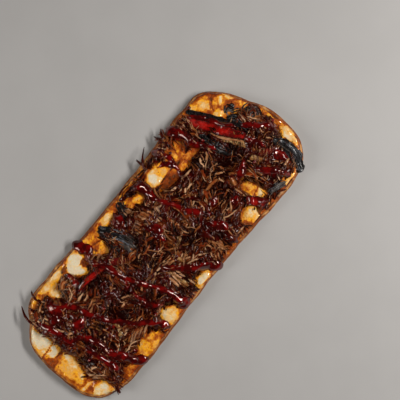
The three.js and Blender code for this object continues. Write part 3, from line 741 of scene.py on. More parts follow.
def mesh_piece(name: str, points: Array, faces: Sequence[Sequence[int]], **masks: Array) -> Piece:
    """A smooth closed mesh piece at the origin.

    Args:
        name: the piece's name.
        points: its points, in mm on the plan.
        faces: its faces, as point numbers.
        masks: named values, one for each point, that its material reads.

    Returns:
        The new object.
    """
    mesh = bpy.data.meshes.new(name)
    mesh.from_pydata(((points + SHIFT) * MM).tolist(), [], [list(face) for face in faces])
    for key, values in masks.items():
        mesh.attributes.new(key, "FLOAT", "POINT").data.foreach_set("value", np.asarray(values, np.float32))
    work = bmesh.new()
    work.from_mesh(mesh)
    bmesh.ops.recalc_face_normals(work, faces=work.faces)
    bmesh.ops.triangulate(work, faces=[face for face in work.faces if len(face.verts) > 4])
    work.to_mesh(mesh)
    work.free()
    mesh.shade_smooth()
    return linked(name, mesh)


def loft(rings: Array) -> tuple[Array, list[tuple[int, ...]]]:
    """A closed skin over rings, with a cap at each end.

    Args:
        rings: rings by points by 3.

    Returns:
        Its points, and its faces as point numbers.
    """
    count, steps = rings.shape[:2]
    first, last = tuple(range(steps)), tuple(range((count - 1) * steps, count * steps))
    faces: list[tuple[int, ...]] = [first[::-1], last]
    for ring in range(count - 1):
        a = ring * steps
        b = a + steps
        faces.extend((a + i, a + (i + 1) % steps, b + (i + 1) % steps, b + i) for i in range(steps))
    return rings.reshape(-1, 3), faces


def beside(grid: Array) -> tuple[Array, ...]:
    """The four neighbours of each of a grid's values, an edge's own value past it."""
    padded = np.pad(grid, 1, mode="edge")
    return padded[:-2, 1:-1], padded[2:, 1:-1], padded[1:-1, :-2], padded[1:-1, 2:]


def blurred(grid: Array, rounds: int) -> Array:
    """Evens out the peaks and dips of a grid.

    Args:
        grid: its values.
        rounds: how many times each value goes halfway to its neighbours' mean.

    Returns:
        The new values.
    """
    for _ in range(rounds):
        grid = 0.5 * grid + 0.5 * (sum(beside(grid)) / 4)
    return grid


def sheet(x: Array, y: Array, top: Array, bottom: Array, kept: Array) -> tuple[Array, list[list[int]]]:
    """A closed sheet over part of a grid.

    Args:
        x: the grid points' X.
        y: the grid points' Y.
        top: the height of the sheet's upper side at each.
        bottom: the height of its lower side.
        kept: which points the sheet covers.

    Returns:
        Its points, and its faces as point numbers.
    """
    number = np.arange(x.size).reshape(x.shape)
    cells = kept[:-1, :-1] & kept[1:, :-1] & kept[:-1, 1:] & kept[1:, 1:]
    quads = np.stack([number[:-1, :-1], number[1:, :-1], number[1:, 1:], number[:-1, 1:]], axis=-1)[cells]
    edges = np.concatenate([quads[:, [k, (k + 1) % 4]] for k in range(4)])
    keys = {(a, b) for a, b in edges.tolist()}
    free = [(a, b) for a, b in keys if (b, a) not in keys]
    sides = np.array([(b, a, a + x.size, b + x.size) for a, b in sorted(free)])
    faces = np.vstack([quads, quads[:, ::-1] + x.size, sides])
    used = np.unique(faces)
    again = np.full(2 * x.size, -1)
    again[used] = np.arange(used.size)
    heights = np.append(top.ravel(), bottom.ravel())
    points = np.column_stack([np.tile(x.ravel(), 2), np.tile(y.ravel(), 2), heights])
    return points[used], again[faces].tolist()


def rgba(colour: object) -> object:
    """A colour with its alpha, or a socket as it is."""
    return (*colour, 1.0) if isinstance(colour, tuple) and len(colour) == 3 else colour


@dataclass
class Graph:
    """A short way to add nodes to a tree."""

    tree: Tree

    def add(self, kind: str, inputs: Given | None = None, **settings: object) -> bpy.types.Node:
        """Adds a node.

        Args:
            kind: the node's type.
            inputs: a value or another node's output for each named or numbered input.
            settings: the node's own properties.

        Returns:
            The new node.
        """
        node = self.tree.nodes.new(kind)
        for key, value in settings.items():
            setattr(node, key, value)
        for key, value in (inputs or {}).items():
            socket = node.inputs[key]
            if isinstance(value, Socket):
                self.tree.links.new(value, socket)
            else:
                socket.default_value = value
        return node

    def first(self, kind: str, inputs: Given | None = None, **settings: object) -> Socket:
        """The first output of a new node."""
        return self.add(kind, inputs, **settings).outputs[0]

    def math(self, operation: str, *values: object) -> Socket:
        """The result of a Math node."""
        return self.first("ShaderNodeMath", dict(enumerate(values)), operation=operation)

    def plus(self, value: object, other: object) -> Socket:
        """The sum of two values."""
        return self.math("ADD", value, other)

    def minus(self, value: object, other: object) -> Socket:
        """One value less another."""
        return self.math("SUBTRACT", value, other)

    def times(self, value: object, other: object) -> Socket:
        """The product of two values."""
        return self.math("MULTIPLY", value, other)

    def over(self, value: object, other: object) -> Socket:
        """One value divided by another."""
        return self.math("DIVIDE", value, other)

    def swing(self, mask: object, size: object) -> Socket:
        """A mask from 0 to 1 turned into a swing of the given size about 0."""
        return self.times(self.minus(mask, 0.5), size)

    def vector(self, x: object, y: object, z: object = 0.0) -> Socket:
        """A vector of three values."""
        return self.first("ShaderNodeCombineXYZ", {0: x, 1: y, 2: z})

    def noise(self, where: object, scale: object, detail: object) -> Socket:
        """The value of a noise."""
        return self.first("ShaderNodeTexNoise", {"Vector": where, "Scale": scale, "Detail": detail})

    def mix(self, factor: object, first: object, second: object) -> Socket:
        """Two colours mixed by a factor."""
        values = {0: factor, 6: rgba(first), 7: rgba(second)}
        return self.add("ShaderNodeMix", values, data_type="RGBA").outputs[2]

    def ramp(self, value: object, stops: Sequence[tuple[float, Colour]]) -> Socket:
        """A colour read off a ramp.

        Args:
            value: where on the ramp.
            stops: the ramp's places and their colours.

        Returns:
            The colour.
        """
        node = self.add("ShaderNodeValToRGB", {0: value})
        elements = node.color_ramp.elements
        while len(elements) < len(stops):
            elements.new(0.5)
        for element, (position, colour) in zip(elements, stops):
            element.position = position
            element.color = rgba(colour)
        return node.outputs["Color"]

    def spread(
        self, value: object, low: object, high: object, to_low: float = 0, to_high: float = 1
    ) -> Socket:
        """A value carried smoothly from one range to another."""
        values = {0: value, 1: low, 2: high, 3: to_low, 4: to_high}
        return self.first("ShaderNodeMapRange", values, interpolation_type="SMOOTHSTEP")

    def attribute(self, name: str) -> Socket:
        """A piece's own named value."""
        return self.add("ShaderNodeAttribute", attribute_name=name).outputs["Fac"]

    def mottle(self, size: float, low: float, high: float, seed: float, detail: float = 3) -> Socket:
        """A mask of uneven patches of the given size in mm, from none at one noise to full at another."""
        values = {"Size": size * MM, "Detail": detail, "Low": low, "High": high, "Seed": seed}
        return self.first("ShaderNodeGroup", values, node_tree=MOTTLE)

    def lines(self, width: float, length: float) -> Socket:
        """Fine uneven lines along a slab, of the given width and length in mm."""
        where = (self.over(self.attribute("across"), width), self.over(self.attribute("along"), length))
        return self.spread(self.noise(self.vector(*where), 1.0, 2.0), 0.3, 0.7)

    def on_strand(self, lie: dict[str, Socket], threads: object, length: object, seed: object) -> Socket:
        """Where a point of a swept strand reads a noise: round a ring, and on along the strand.

        Args:
            lie: the point's values along and around its strand, and the strand's own one.
            threads: the size of the ring.
            length: how far along the strand the noise changes by one.
            seed: how far along the noise the strands start.

        Returns:
            The place.
        """
        turn = self.times(lie["around"], 2 * math.pi)
        ring = (self.times(self.math(way, turn), threads) for way in ("SINE", "COSINE"))
        along = self.plus(self.over(lie["along"], length), seed)
        return self.vector(*ring, self.plus(along, self.times(lie["own"], STRANDS_APART)))

    def bump(self, height: Socket, depth: float) -> Socket:
        """A normal bent by a fine relief, its depth in mm."""
        return self.first("ShaderNodeBump", {"Height": height, "Distance": depth * MM, "Strength": 1.0})


def shader_group(name: str, given: dict[str, float], made: Sequence[str]) -> Graph:
    """Starts a group of shader nodes.

    Args:
        name: the group's name.
        given: the default of each input.
        made: the names of its outputs.

    Returns:
        A graph on the group.
    """
    tree = bpy.data.node_groups.new(name, "ShaderNodeTree")
    for key, default in given.items():
        socket = tree.interface.new_socket(key, in_out="INPUT", socket_type="NodeSocketFloat")
        socket.default_value = default
    for key in made:
        tree.interface.new_socket(key, in_out="OUTPUT", socket_type="NodeSocketFloat")
    return Graph(tree)


def mottle_group() -> Tree:
    """Uneven patches of about one size, for every food surface: a mask with a soft edge.

    Returns:
        The group.
    """
    sizes = {"Size": 0.01, "Detail": 3.0, "Low": 0.4, "High": 0.6, "Seed": 0.0}
    graph = shader_group("Mottle", sizes, ["Mask"])
    given = graph.add("NodeGroupInput").outputs
    where = graph.add("ShaderNodeTexCoord").outputs["Object"]
    moved = graph.first("ShaderNodeVectorMath", {0: where, 1: given["Seed"]})
    noise = graph.noise(moved, graph.over(1.0, given["Size"]), given["Detail"])
    graph.add("NodeGroupOutput", {"Mask": graph.spread(noise, given["Low"], given["High"])})
    return graph.tree


def fibre_group() -> Tree:
    """Threads that run along a swept strand: a height and a streak mask.

    Returns:
        The group.
    """
    graph = shader_group("Fibres", {"Threads": 9.0, "Length": 0.006, "Seed": 0.0}, ["Height", "Streak"])
    given = graph.add("NodeGroupInput").outputs
    lie = {name: graph.attribute(name) for name in ("along", "around", "own")}
    where = graph.on_strand(lie, given["Threads"], given["Length"], given["Seed"])
    noises = {"Height": graph.noise(where, 0.5, 2.0), "Streak": graph.noise(where, 0.16, 1.0)}
    graph.add("NodeGroupOutput", noises)
    return graph.tree


MOTTLE = mottle_group()
FIBRES = fibre_group()
BROWN_GLEAM = (1.0, 0.45, 0.30)
RED_GLEAM = (1.0, 0.35, 0.30)
GOLDEN_GLEAM = (1.0, 0.70, 0.34)


@dataclass(frozen=True)
class Finish:
    """A food surface. A subclass paints its colour, roughness and relief."""

    name: str
    specular: float = 0.5
    gleam: Colour = (1.0, 1.0, 1.0)
    coat: float = 0.0
    coat_roughness: float = 0.1
    glow: float = 0.0
    glow_scale: float = 0.002
    glow_radius: tuple[float, float, float] = (1.0, 0.4, 0.2)

    def material(self) -> Material:
        """Makes the finish's material.

        Returns:
            The material.
        """
        material = bpy.data.materials.new(self.name)
        material.use_nodes = True
        graph = Graph(material.node_tree)
        shader = material.node_tree.nodes["Principled BSDF"]
        shader.inputs["Specular IOR Level"].default_value = self.specular
        shader.inputs["Specular Tint"].default_value = rgba(self.gleam)
        shader.inputs["Coat Weight"].default_value = self.coat
        shader.inputs["Coat Roughness"].default_value = self.coat_roughness
        shader.inputs["Subsurface Weight"].default_value = self.glow
        shader.inputs["Subsurface Radius"].default_value = self.glow_radius
        shader.inputs["Subsurface Scale"].default_value = self.glow_scale
        for key, value in self.paint(graph).items():
            graph.tree.links.new(value, shader.inputs[key])
        return material

    def paint(self, graph: Graph) -> Painted:
        """What feeds the shader's inputs, by the inputs' names."""
        raise NotImplementedError


@dataclass(frozen=True)
class CrustFinish(Finish):
    """Baked dough: pale and floury below, tan on the rim, toasted on its outer side, with dark blisters."""

    flour: Colour = (0.62, 0.47, 0.29)
    tan: Colour = (0.52, 0.27, 0.095)
    toast: Colour = (0.19, 0.046, 0.009)
    burnt: Colour = (0.035, 0.010, 0.004)

    def paint(self, graph: Graph) -> Painted:
        """Mixes the bake by the mesh's own mask and by patches.

        Args:
            graph: the material's nodes.

        Returns:
            What feeds the shader.
        """
        baked = graph.plus(graph.attribute("baked"), graph.swing(graph.mottle(6, 0.25, 0.75, 1.3, 5), 0.7))
        base = graph.ramp(baked, [(0.0, self.flour), (0.45, self.tan), (0.95, self.toast)])
        spots = graph.times(graph.mottle(4.5, 0.60, 0.72, 4.1), graph.spread(baked, 0.3, 0.9))
        return {
            "Base Color": graph.mix(spots, base, self.burnt),
            "Roughness": graph.spread(spots, 0, 1, 0.62, 0.45),
            "Normal": graph.bump(graph.mottle(0.9, 0.2, 0.8, 7.7, 5), 0.16),
        }


@dataclass(frozen=True)
class TomatoFinish(Finish):
    """Cooked tomato sauce, dark and oily."""

    red: Colour = (0.16, 0.014, 0.005)
    dark: Colour = (0.035, 0.004, 0.002)

    def paint(self, graph: Graph) -> Painted:
        """Mixes red and dark by patches.

        Args:
            graph: the material's nodes.

        Returns:
            What feeds the shader.
        """
        fine = graph.mottle(1.2, 0.2, 0.8, 5.5)
        return {
            "Base Color": graph.mix(graph.mottle(6, 0.35, 0.65, 2.2), self.red, self.dark),
            "Roughness": graph.spread(fine, 0, 1, 0.22, 0.42),
            "Normal": graph.bump(fine, 0.2),
        }


@dataclass(frozen=True)
class CheeseFinish(Finish):
    """Melted cheese on one ramp of baking, from white by yellow and orange to brown, clouded with tan."""

    tan: Colour = (0.58, 0.34, 0.155)
    bake: tuple[tuple[float, Colour], ...] = (
        (0.0, (0.64, 0.56, 0.40)), (0.14, (0.72, 0.48, 0.19)), (0.27, (0.64, 0.31, 0.056)),
        (0.38, (0.80, 0.36, 0.010)), (0.50, (0.50, 0.15, 0.006)), (0.64, (0.265, 0.040, 0.0020)),
        (0.80, (0.11, 0.015, 0.0015)), (1.0, (0.012, 0.003, 0.001)),
    )

    def paint(self, graph: Graph) -> Painted:
        """Reads the mesh's own bake, unevenly, and freckles it.

        Args:
            graph: the material's nodes.

        Returns:
            What feeds the shader.
        """
        patches = ((9, 0.25, 0.75, 0.7), (3.5, 0.25, 0.75, 6.6), (1.3, 0.2, 0.8, 2.9))
        baked = graph.attribute("bake")
        for patch, share in zip(patches, (0.26, 0.20, 0.08)):
            baked = graph.plus(baked, graph.swing(graph.mottle(*patch), share))
        baked = graph.plus(baked, graph.times(graph.mottle(2.4, 0.66, 0.78, 8.3), 0.40))
        cloudy = graph.times(graph.mottle(6, 0.45, 0.65, 3.7), graph.spread(baked, 0.62, 0.35))
        return {
            "Base Color": graph.mix(graph.times(cloudy, 0.28), graph.ramp(baked, self.bake), self.tan),
            "Roughness": graph.spread(graph.mottle(5, 0.3, 0.7, 2.8), 0, 1, 0.22, 0.46),
            "Normal": graph.bump(graph.mottle(1.7, 0.2, 0.8, 5.1, 4), 0.4),
        }


@dataclass(frozen=True)
class BeefFinish(Finish):
    """Pulled beef glazed with barbecue sauce: threads from burnt brown to dry tan, redder near the sauce.

    The charred shreds wear it too, in black and ash grey; its palest grey is a painted glint on a few of
    them.
    """

    burnt: Colour = (0.0060, 0.0004, 0.0002)
    dark: Colour = (0.024, 0.0016, 0.0004)
    brown: Colour = (0.100, 0.022, 0.0034)
    rust: Colour = (0.175, 0.020, 0.0022)
    tan: Colour = (0.28, 0.10, 0.028)
    dry: Colour = (0.52, 0.30, 0.165)
    sauce: Colour = (0.050, 0.0006, 0.0004)
    threads: bool = True

    def paint(self, graph: Graph) -> Painted:
        """Reads the strand's tint, streaks it with threads, and glazes it.

        Args:
            graph: the material's nodes.

        Returns:
            What feeds the shader.
        """
        if self.threads:
            group = graph.add("ShaderNodeGroup", node_tree=FIBRES)
            streak, height = group.outputs["Streak"], group.outputs["Height"]
        else:
            streak, height = graph.mottle(2.6, 0.2, 0.8, 3.3), graph.mottle(1.3, 0.2, 0.8, 1.1, 4)
        tint = graph.plus(graph.attribute("tint"), graph.swing(graph.mottle(5, 0.2, 0.8, 2.4), 0.22))
        tint = graph.plus(tint, graph.swing(streak, 0.7))
        places = (0.0, 0.25, 0.5, 0.75, 1.0)
        brown, rust = (
            graph.ramp(tint, list(zip(places, (self.burnt, self.dark, middle, self.tan, self.dry))))
            for middle in (self.brown, self.rust)
        )
        colour = graph.mix(graph.mottle(9, 0.42, 0.60, 5.7), brown, rust)
        glazed = graph.times(graph.attribute("sauce"), graph.mottle(3.5, 0.3, 0.6, 7.4))
        return {
            "Base Color": graph.mix(glazed, colour, self.sauce),
            "Roughness": graph.spread(graph.minus(tint, glazed), 0, 1, 0.24, 0.52),
            "Coat Weight": graph.spread(glazed, 0, 1, 0.06, 0.7),
            "Normal": graph.bump(height, 0.6),
        }


@dataclass(frozen=True)
class SauceFinish(Finish):
    """Thick barbecue sauce: very dark red and glossy."""

    red: Colour = (0.130, 0.0016, 0.0013)
    dark: Colour = (0.032, 0.0008, 0.0007)

    def paint(self, graph: Graph) -> Painted:
        """Mixes red and dark by patches, with a slightly uneven gloss.

        Args:
            graph: the material's nodes.

        Returns:
            What feeds the shader.
        """
        fine = graph.mottle(2.6, 0.2, 0.8, 4.4, 2)
        return {
            "Base Color": graph.mix(graph.mottle(8, 0.35, 0.6, 1.9), self.red, self.dark),
            "Roughness": graph.spread(fine, 0, 1, 0.08, 0.20),
            "Normal": graph.bump(fine, 0.11),
        }


@dataclass(frozen=True)
class PepperFinish(Finish):
    """Roasted red pepper: wet red flesh with charred ends and edges."""

    red: Colour = (0.30, 0.0040, 0.0020)
    deep: Colour = (0.060, 0.0010, 0.0007)
    warm: Colour = (0.36, 0.026, 0.005)
    char: Colour = (0.008, 0.003, 0.002)

    def paint(self, graph: Graph) -> Painted:
        """Mixes the reds, deeper the further the piece has roasted, then chars its edges.

        Args:
            graph: the material's nodes.

        Returns:
            What feeds the shader.
        """
        roast = graph.attribute("roast")
        roast = graph.plus(roast, graph.swing(graph.mottle(6, 0.25, 0.75, 0.9), graph.plus(roast, 0.3)))
        roast = graph.plus(roast, graph.times(graph.lines(1.6, 14), 0.35))
        roast = graph.plus(roast, graph.attribute("edge"))
        colour = graph.mix(graph.spread(roast, 0.1, 1.1), self.red, self.deep)
        colour = graph.mix(graph.times(graph.mottle(3, 0.62, 0.78, 6.2), 0.4), colour, self.warm)
        edge = graph.plus(graph.attribute("edge"), graph.swing(graph.mottle(2.4, 0.2, 0.8, 3.0), 0.8))
        fine = graph.mottle(1.8, 0.2, 0.8, 8.8, 3)
        return {
            "Base Color": graph.mix(graph.spread(edge, 0.5, 0.95), colour, self.char),
            "Roughness": graph.spread(fine, 0, 1, 0.2, 0.4),
            "Normal": graph.bump(fine, 0.4),
        }


@dataclass(frozen=True)
class CharFinish(Finish):
    """Charred pepper skin: black and oily, with streaks of ash and painted sheen and a little red left in
    it.
    """

    black: Colour = (0.0030, 0.0022, 0.0024)
    # Grey on the ridges: partly ash, partly painted sheen.
    ash_and_sheen: Colour = (0.13, 0.14, 0.16)
    red: Colour = (0.035, 0.004, 0.002)

    def paint(self, graph: Graph) -> Painted:
        """Streaks ash and painted sheen along the furrows' ridges, less the further the piece has roasted.

        Args:
            graph: the material's nodes.

        Returns:
            What feeds the shader.
        """
        # The grey follows the furrows' ridges: part ash, part painted sheen where the ridges catch the
        # light.
        lines = graph.lines(0.8, 12)
        ash_and_sheen_mask = graph.plus(graph.attribute("streak"), graph.swing(graph.mottle(5, 0.2, 0.8, 2.1), 0.9))
        ash_and_sheen_mask = graph.plus(graph.minus(ash_and_sheen_mask, graph.attribute("roast")), graph.swing(lines, 1.6))
        colour = graph.mix(graph.spread(ash_and_sheen_mask, -0.1, 0.9), self.black, self.ash_and_sheen)
        ridged = graph.plus(graph.mottle(1.4, 0.2, 0.8, 4.7, 4), graph.times(lines, 1.8))
        return {
            "Base Color": graph.mix(graph.times(graph.mottle(5, 0.55, 0.75, 7.1), 0.7), colour, self.red),
            "Roughness": graph.spread(graph.mottle(3, 0.3, 0.7, 5.9), 0, 1, 0.22, 0.50),
            "Normal": graph.bump(ridged, 0.5),
        }


@dataclass(frozen=True)
class OnionFinish(Finish):
    """Soft roasted onion: glassy tan with browner veins and edges."""

    pale: Colour = (0.38, 0.25, 0.11)
    tan: Colour = (0.20, 0.075, 0.018)
    brown: Colour = (0.045, 0.012, 0.004)

    def paint(self, graph: Graph) -> Painted:
        """Mixes the pale flesh with veins along it, then browns the edges.

        Args:
            graph: the material's nodes.

        Returns:
            What feeds the shader.
        """
        veins = graph.plus(graph.attribute("roast"), graph.swing(graph.mottle(4, 0.2, 0.8, 1.7), 0.8))
        veins = graph.plus(veins, graph.lines(1.1, 10))
        colour = graph.mix(graph.spread(veins, 0.4, 1.5), self.pale, self.tan)
        edge = graph.plus(graph.attribute("edge"), graph.swing(graph.mottle(2.0, 0.2, 0.8, 3.4), 0.9))
        fine = graph.mottle(1.2, 0.2, 0.8, 8.2, 4)
        return {
            "Base Color": graph.mix(graph.spread(edge, 0.35, 0.95), colour, self.brown),
            "Roughness": graph.spread(fine, 0, 1, 0.16, 0.34),
            "Normal": graph.bump(fine, 0.15),
        }


@dataclass(frozen=True)
class SteadyFinish(Finish):
    """A matt backdrop of one colour with the faintest unevenness."""

    shade: float = 0.5

    def paint(self, graph: Graph) -> Painted:
        """Mixes two nearly equal greys."""
        light, dark = ((self.shade * share,) * 3 for share in (1.01, 0.97))
        return {"Base Color": graph.mix(graph.mottle(60, 0.3, 0.7, 1.0), light, dark)}


def as_pizza(piece: Piece, finish: Material, node: str) -> Piece:
    """Dresses a finished piece and puts it on the pizza's body.

    Args:
        piece: the piece.
        finish: its material.
        node: the solid that it stands for.

    Returns:
        The piece.
    """
    piece.data.materials.clear()
    piece.data.materials.append(finish)
    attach(piece, "root")
    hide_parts(node)
    log.info("%-24s %7d faces", piece.name, len(piece.data.polygons))
    return piece


def geometry_tree(name: str, sizes: dict[str, float | int | None]) -> tuple[Graph, Tree]:
    """A Geometry Nodes tree with a geometry in and out and named inputs.

    Args:
        name: the tree's name.
        sizes: the default of each named input, None for a material.

    Returns:
        A graph on the tree, and the tree.
    """
    tree = bpy.data.node_groups.new(name, "GeometryNodeTree")
    tree.interface.new_socket("Geometry", in_out="INPUT", socket_type="NodeSocketGeometry")
    for key, default in sizes.items():
        kind = {int: "NodeSocketInt", float: "NodeSocketFloat"}.get(type(default), "NodeSocketMaterial")
        socket = tree.interface.new_socket(key, in_out="INPUT", socket_type=kind)
        if default is not None:
            socket.default_value = default
    tree.interface.new_socket("Geometry", in_out="OUTPUT", socket_type="NodeSocketGeometry")
    return Graph(tree), tree


def grow(piece: Piece, tree: Tree, **values: object) -> None:
    """Runs a Geometry Nodes tree on a piece and keeps the plain mesh.

    Args:
        piece: the piece, at first a mesh of lines.
        tree: the tree.
        values: its inputs by name.
    """
    modifier = piece.modifiers.new("grow", "NODES")
    modifier.node_group = tree
    for socket in tree.interface.items_tree:
        if socket.in_out == "INPUT" and socket.name in values:
            modifier[socket.identifier] = values[socket.name]
    graph = bpy.context.evaluated_depsgraph_get()
    whole = piece.evaluated_get(graph)
    mesh = bpy.data.meshes.new_from_object(whole, preserve_all_data_layers=True, depsgraph=graph)
    before = piece.data
    piece.modifiers.clear()
    piece.data = mesh
    bpy.data.meshes.remove(before)
    mesh.name = piece.name


def sweep_tree() -> Tree:
    """Sweeps a flattened round section along every line, as thick as the line's own radius says.

    Returns:
        The tree.
    """
    sizes = {"Sides": 6, "Flatness": 0.7, "Ridges": 0.3, "Threads": 1.6, "Material": None}
    graph, tree = geometry_tree("Sweep", sizes)
    given = graph.add("NodeGroupInput").outputs

    def own(name: str) -> Socket:
        """A named value of the lines."""
        return graph.add("GeometryNodeInputNamedAttribute", {"Name": name}).outputs["Attribute"]

    def kept(curve: Socket, name: str, measure: str) -> Socket:
        """A curve with its points' length or factor along it kept as a named value."""
        measured = graph.add("GeometryNodeSplineParameter").outputs[measure]
        values = {"Geometry": curve, "Name": name, "Value": measured}
        return graph.first("GeometryNodeStoreNamedAttribute", values)

    curve = graph.first("GeometryNodeMeshToCurve", {"Mesh": given["Geometry"]})
    curve = graph.first("GeometryNodeSetCurveNormal", {"Curve": curve}, mode="Z_UP")
    curve = graph.first("GeometryNodeSetCurveTilt", {"Curve": curve, "Tilt": own("tilt")})
    curve = kept(curve, "along", "Length")
    ring = graph.first("GeometryNodeCurvePrimitiveCircle", {"Resolution": given["Sides"], "Radius": 1.0})
    ring = kept(ring, "around", "Factor")
    flat = graph.vector(1.0, given["Flatness"], 1.0)
    ring = graph.first("GeometryNodeTransform", {"Geometry": ring, "Scale": flat})
    values = {"Curve": curve, "Profile Curve": ring, "Scale": own("radius"), "Fill Caps": True}
    body = graph.first("GeometryNodeCurveToMesh", values)
    lie = {name: own(name) for name in ("along", "around", "own")}
    noise = graph.noise(graph.on_strand(lie, given["Threads"], RIDGE_LENGTH, 0.0), 1.0, 1.0)
    rise = graph.times(graph.swing(noise, given["Ridges"]), graph.times(own("radius"), 2.0))
    outward = graph.first("GeometryNodeInputNormal")
    shift = graph.first("ShaderNodeVectorMath", {0: outward, "Scale": rise}, operation="SCALE")
    body = graph.first("GeometryNodeSetPosition", {"Geometry": body, "Offset": shift})
    body = graph.first("GeometryNodeSetShadeSmooth", {"Geometry": body})
    body = graph.first("GeometryNodeRealizeInstances", {"Geometry": body})
    body = graph.first("GeometryNodeSetMaterial", {"Geometry": body, "Material": given["Material"]})
    graph.add("NodeGroupOutput", {"Geometry": body})
    return tree


SWEEP = sweep_tree()


@dataclass
class Strands:
    """Lines of equal length in points, each with its own thickness, tilt, tint and glaze, to be swept."""

    points: Array
    radius: Array
    tilt: Array | float
    tint: Array | float
    sauce: Array | float

    def swept(self, name: str, finish: Material, sides: int, flatness: float, ridges: float) -> Piece:
        """Makes the strands' mesh.

        Args:
            name: the piece's name.
            finish: its material.
            sides: the sides of a strand.
            flatness: a strand's height for its width.
            ridges: how far its threads stand out, for its radius.

        Returns:
            The piece, one closed body for each strand.
        """
        count, steps = self.points.shape[:2]
        starts = np.arange(count)[:, None] * steps + np.arange(steps - 1)
        edges = np.stack([starts, starts + 1], axis=-1).reshape(-1, 2)
        mesh = bpy.data.meshes.new(name)
        mesh.from_pydata(((self.points.reshape(-1, 3) + SHIFT) * MM).tolist(), edges.tolist(), [])
        values = {"radius": self.radius * MM, "tilt": self.tilt, "tint": self.tint, "sauce": self.sauce}
        values["own"] = np.random.default_rng(count).uniform(0, 1, (count, 1))
        for key, value in values.items():
            flat = np.broadcast_to(value, (count, steps)).astype(np.float32).ravel()
            mesh.attributes.new(key, "FLOAT", "POINT").data.foreach_set("value", flat)
        piece = linked(name, mesh)
        grow(piece, SWEEP, Sides=sides, Flatness=flatness, Ridges=ridges, Material=finish)
        for spare in ("radius", "tilt"):
            if spare in piece.data.attributes:
                piece.data.attributes.remove(piece.data.attributes[spare])
        return piece


@dataclass
class Relief:
    """The height of what lies uppermost, on a grid over the plan, to rest the sauce on."""

    cell: float = 0.6
    reach_x: float = 190.0
    reach_y: float = 85.0
    past_rim: float = 7.5
    height: Array = field(init=False)

    def __post_init__(self) -> None:
        """Starts from the bare heap and cheese."""
        columns, rows = int(2 * self.reach_x / self.cell), int(2 * self.reach_y / self.cell)
        x = (np.arange(columns) + 0.5) * self.cell - self.reach_x
        y = (np.arange(rows) + 0.5) * self.cell - self.reach_y
        x, y = np.meshgrid(x, y, indexing="ij")
        outside = 1 - smoothstep(PLAN.inside_by(x, y), -1.0, 3.6)
        self.height = PLAN.ground(x, y) * (1 - outside) + self.past_rim * outside

    def cover(self, points: Array) -> None:
        """Raises the grid to points.

        Args:
            points: their X, Y and Z.
        """
        i = np.clip(((points[:, 0] + self.reach_x) / self.cell).astype(int), 0, self.height.shape[0] - 1)
        j = np.clip(((points[:, 1] + self.reach_y) / self.cell).astype(int), 0, self.height.shape[1] - 1)
        np.maximum.at(self.height, (i, j), points[:, 2])

    def cover_strands(self, strands: Strands) -> None:
        """Raises the grid to the tops of strands.

        Args:
            strands: the strands.
        """
        tops = strands.points + 0.6 * strands.radius[..., None] * np.array([0, 0, 1])
        for share in (0.0, 0.25, 0.5, 0.75):
            between = tops[:, :-1] * (1 - share) + tops[:, 1:] * share
            self.cover(between.reshape(-1, 3))

    def fill(self, rounds: int) -> None:
        """Widens the peaks, so that what rests on the grid clears them.

        Args:
            rounds: how many cells wider.
        """
        for _ in range(rounds):
            self.height = np.maximum(self.height, np.maximum.reduce(beside(self.height)) - 0.15)

    def draped(self, paths: Array, lift: Array | float) -> Array:
        """Heights for strands that lie over all else, stiff enough to bridge its dips.

        Args:
            paths: the strands' points on the plan.
            lift: how high each strand lies, or all of them.

        Returns:
            The heights of their points.
        """
        z = self.at(paths[..., 0], paths[..., 1])
        for _ in range(3):
            padded = np.pad(z, ((0, 0), (1, 1)), mode="edge")
            z = np.maximum(z - 0.4, (padded[:, :-2] + 2 * z + padded[:, 2:]) / 4)
        return z + np.reshape(lift, (-1, 1))

    def soften(self, rounds: int) -> None:
        """Lets the grid sag between its peaks, as a thick liquid does."""
        self.height = blurred(self.height, rounds)

    def at(self, x: Array, y: Array) -> Array:
        """The height at points of the plan.

        Args:
            x: the points' X.
            y: the points' Y.

        Returns:
            The heights, blended between the grid's four nearest.
        """
        u = np.clip((np.asarray(x) + self.reach_x) / self.cell - 0.5, 0, self.height.shape[0] - 1.001)
        v = np.clip((np.asarray(y) + self.reach_y) / self.cell - 0.5, 0, self.height.shape[1] - 1.001)
        i, j = u.astype(int), v.astype(int)
        a, b = u - i, v - j
        low = self.height[i, j] * (1 - a) + self.height[i + 1, j] * a
        high = self.height[i, j + 1] * (1 - a) + self.height[i + 1, j + 1] * a
        return low * (1 - b) + high * b


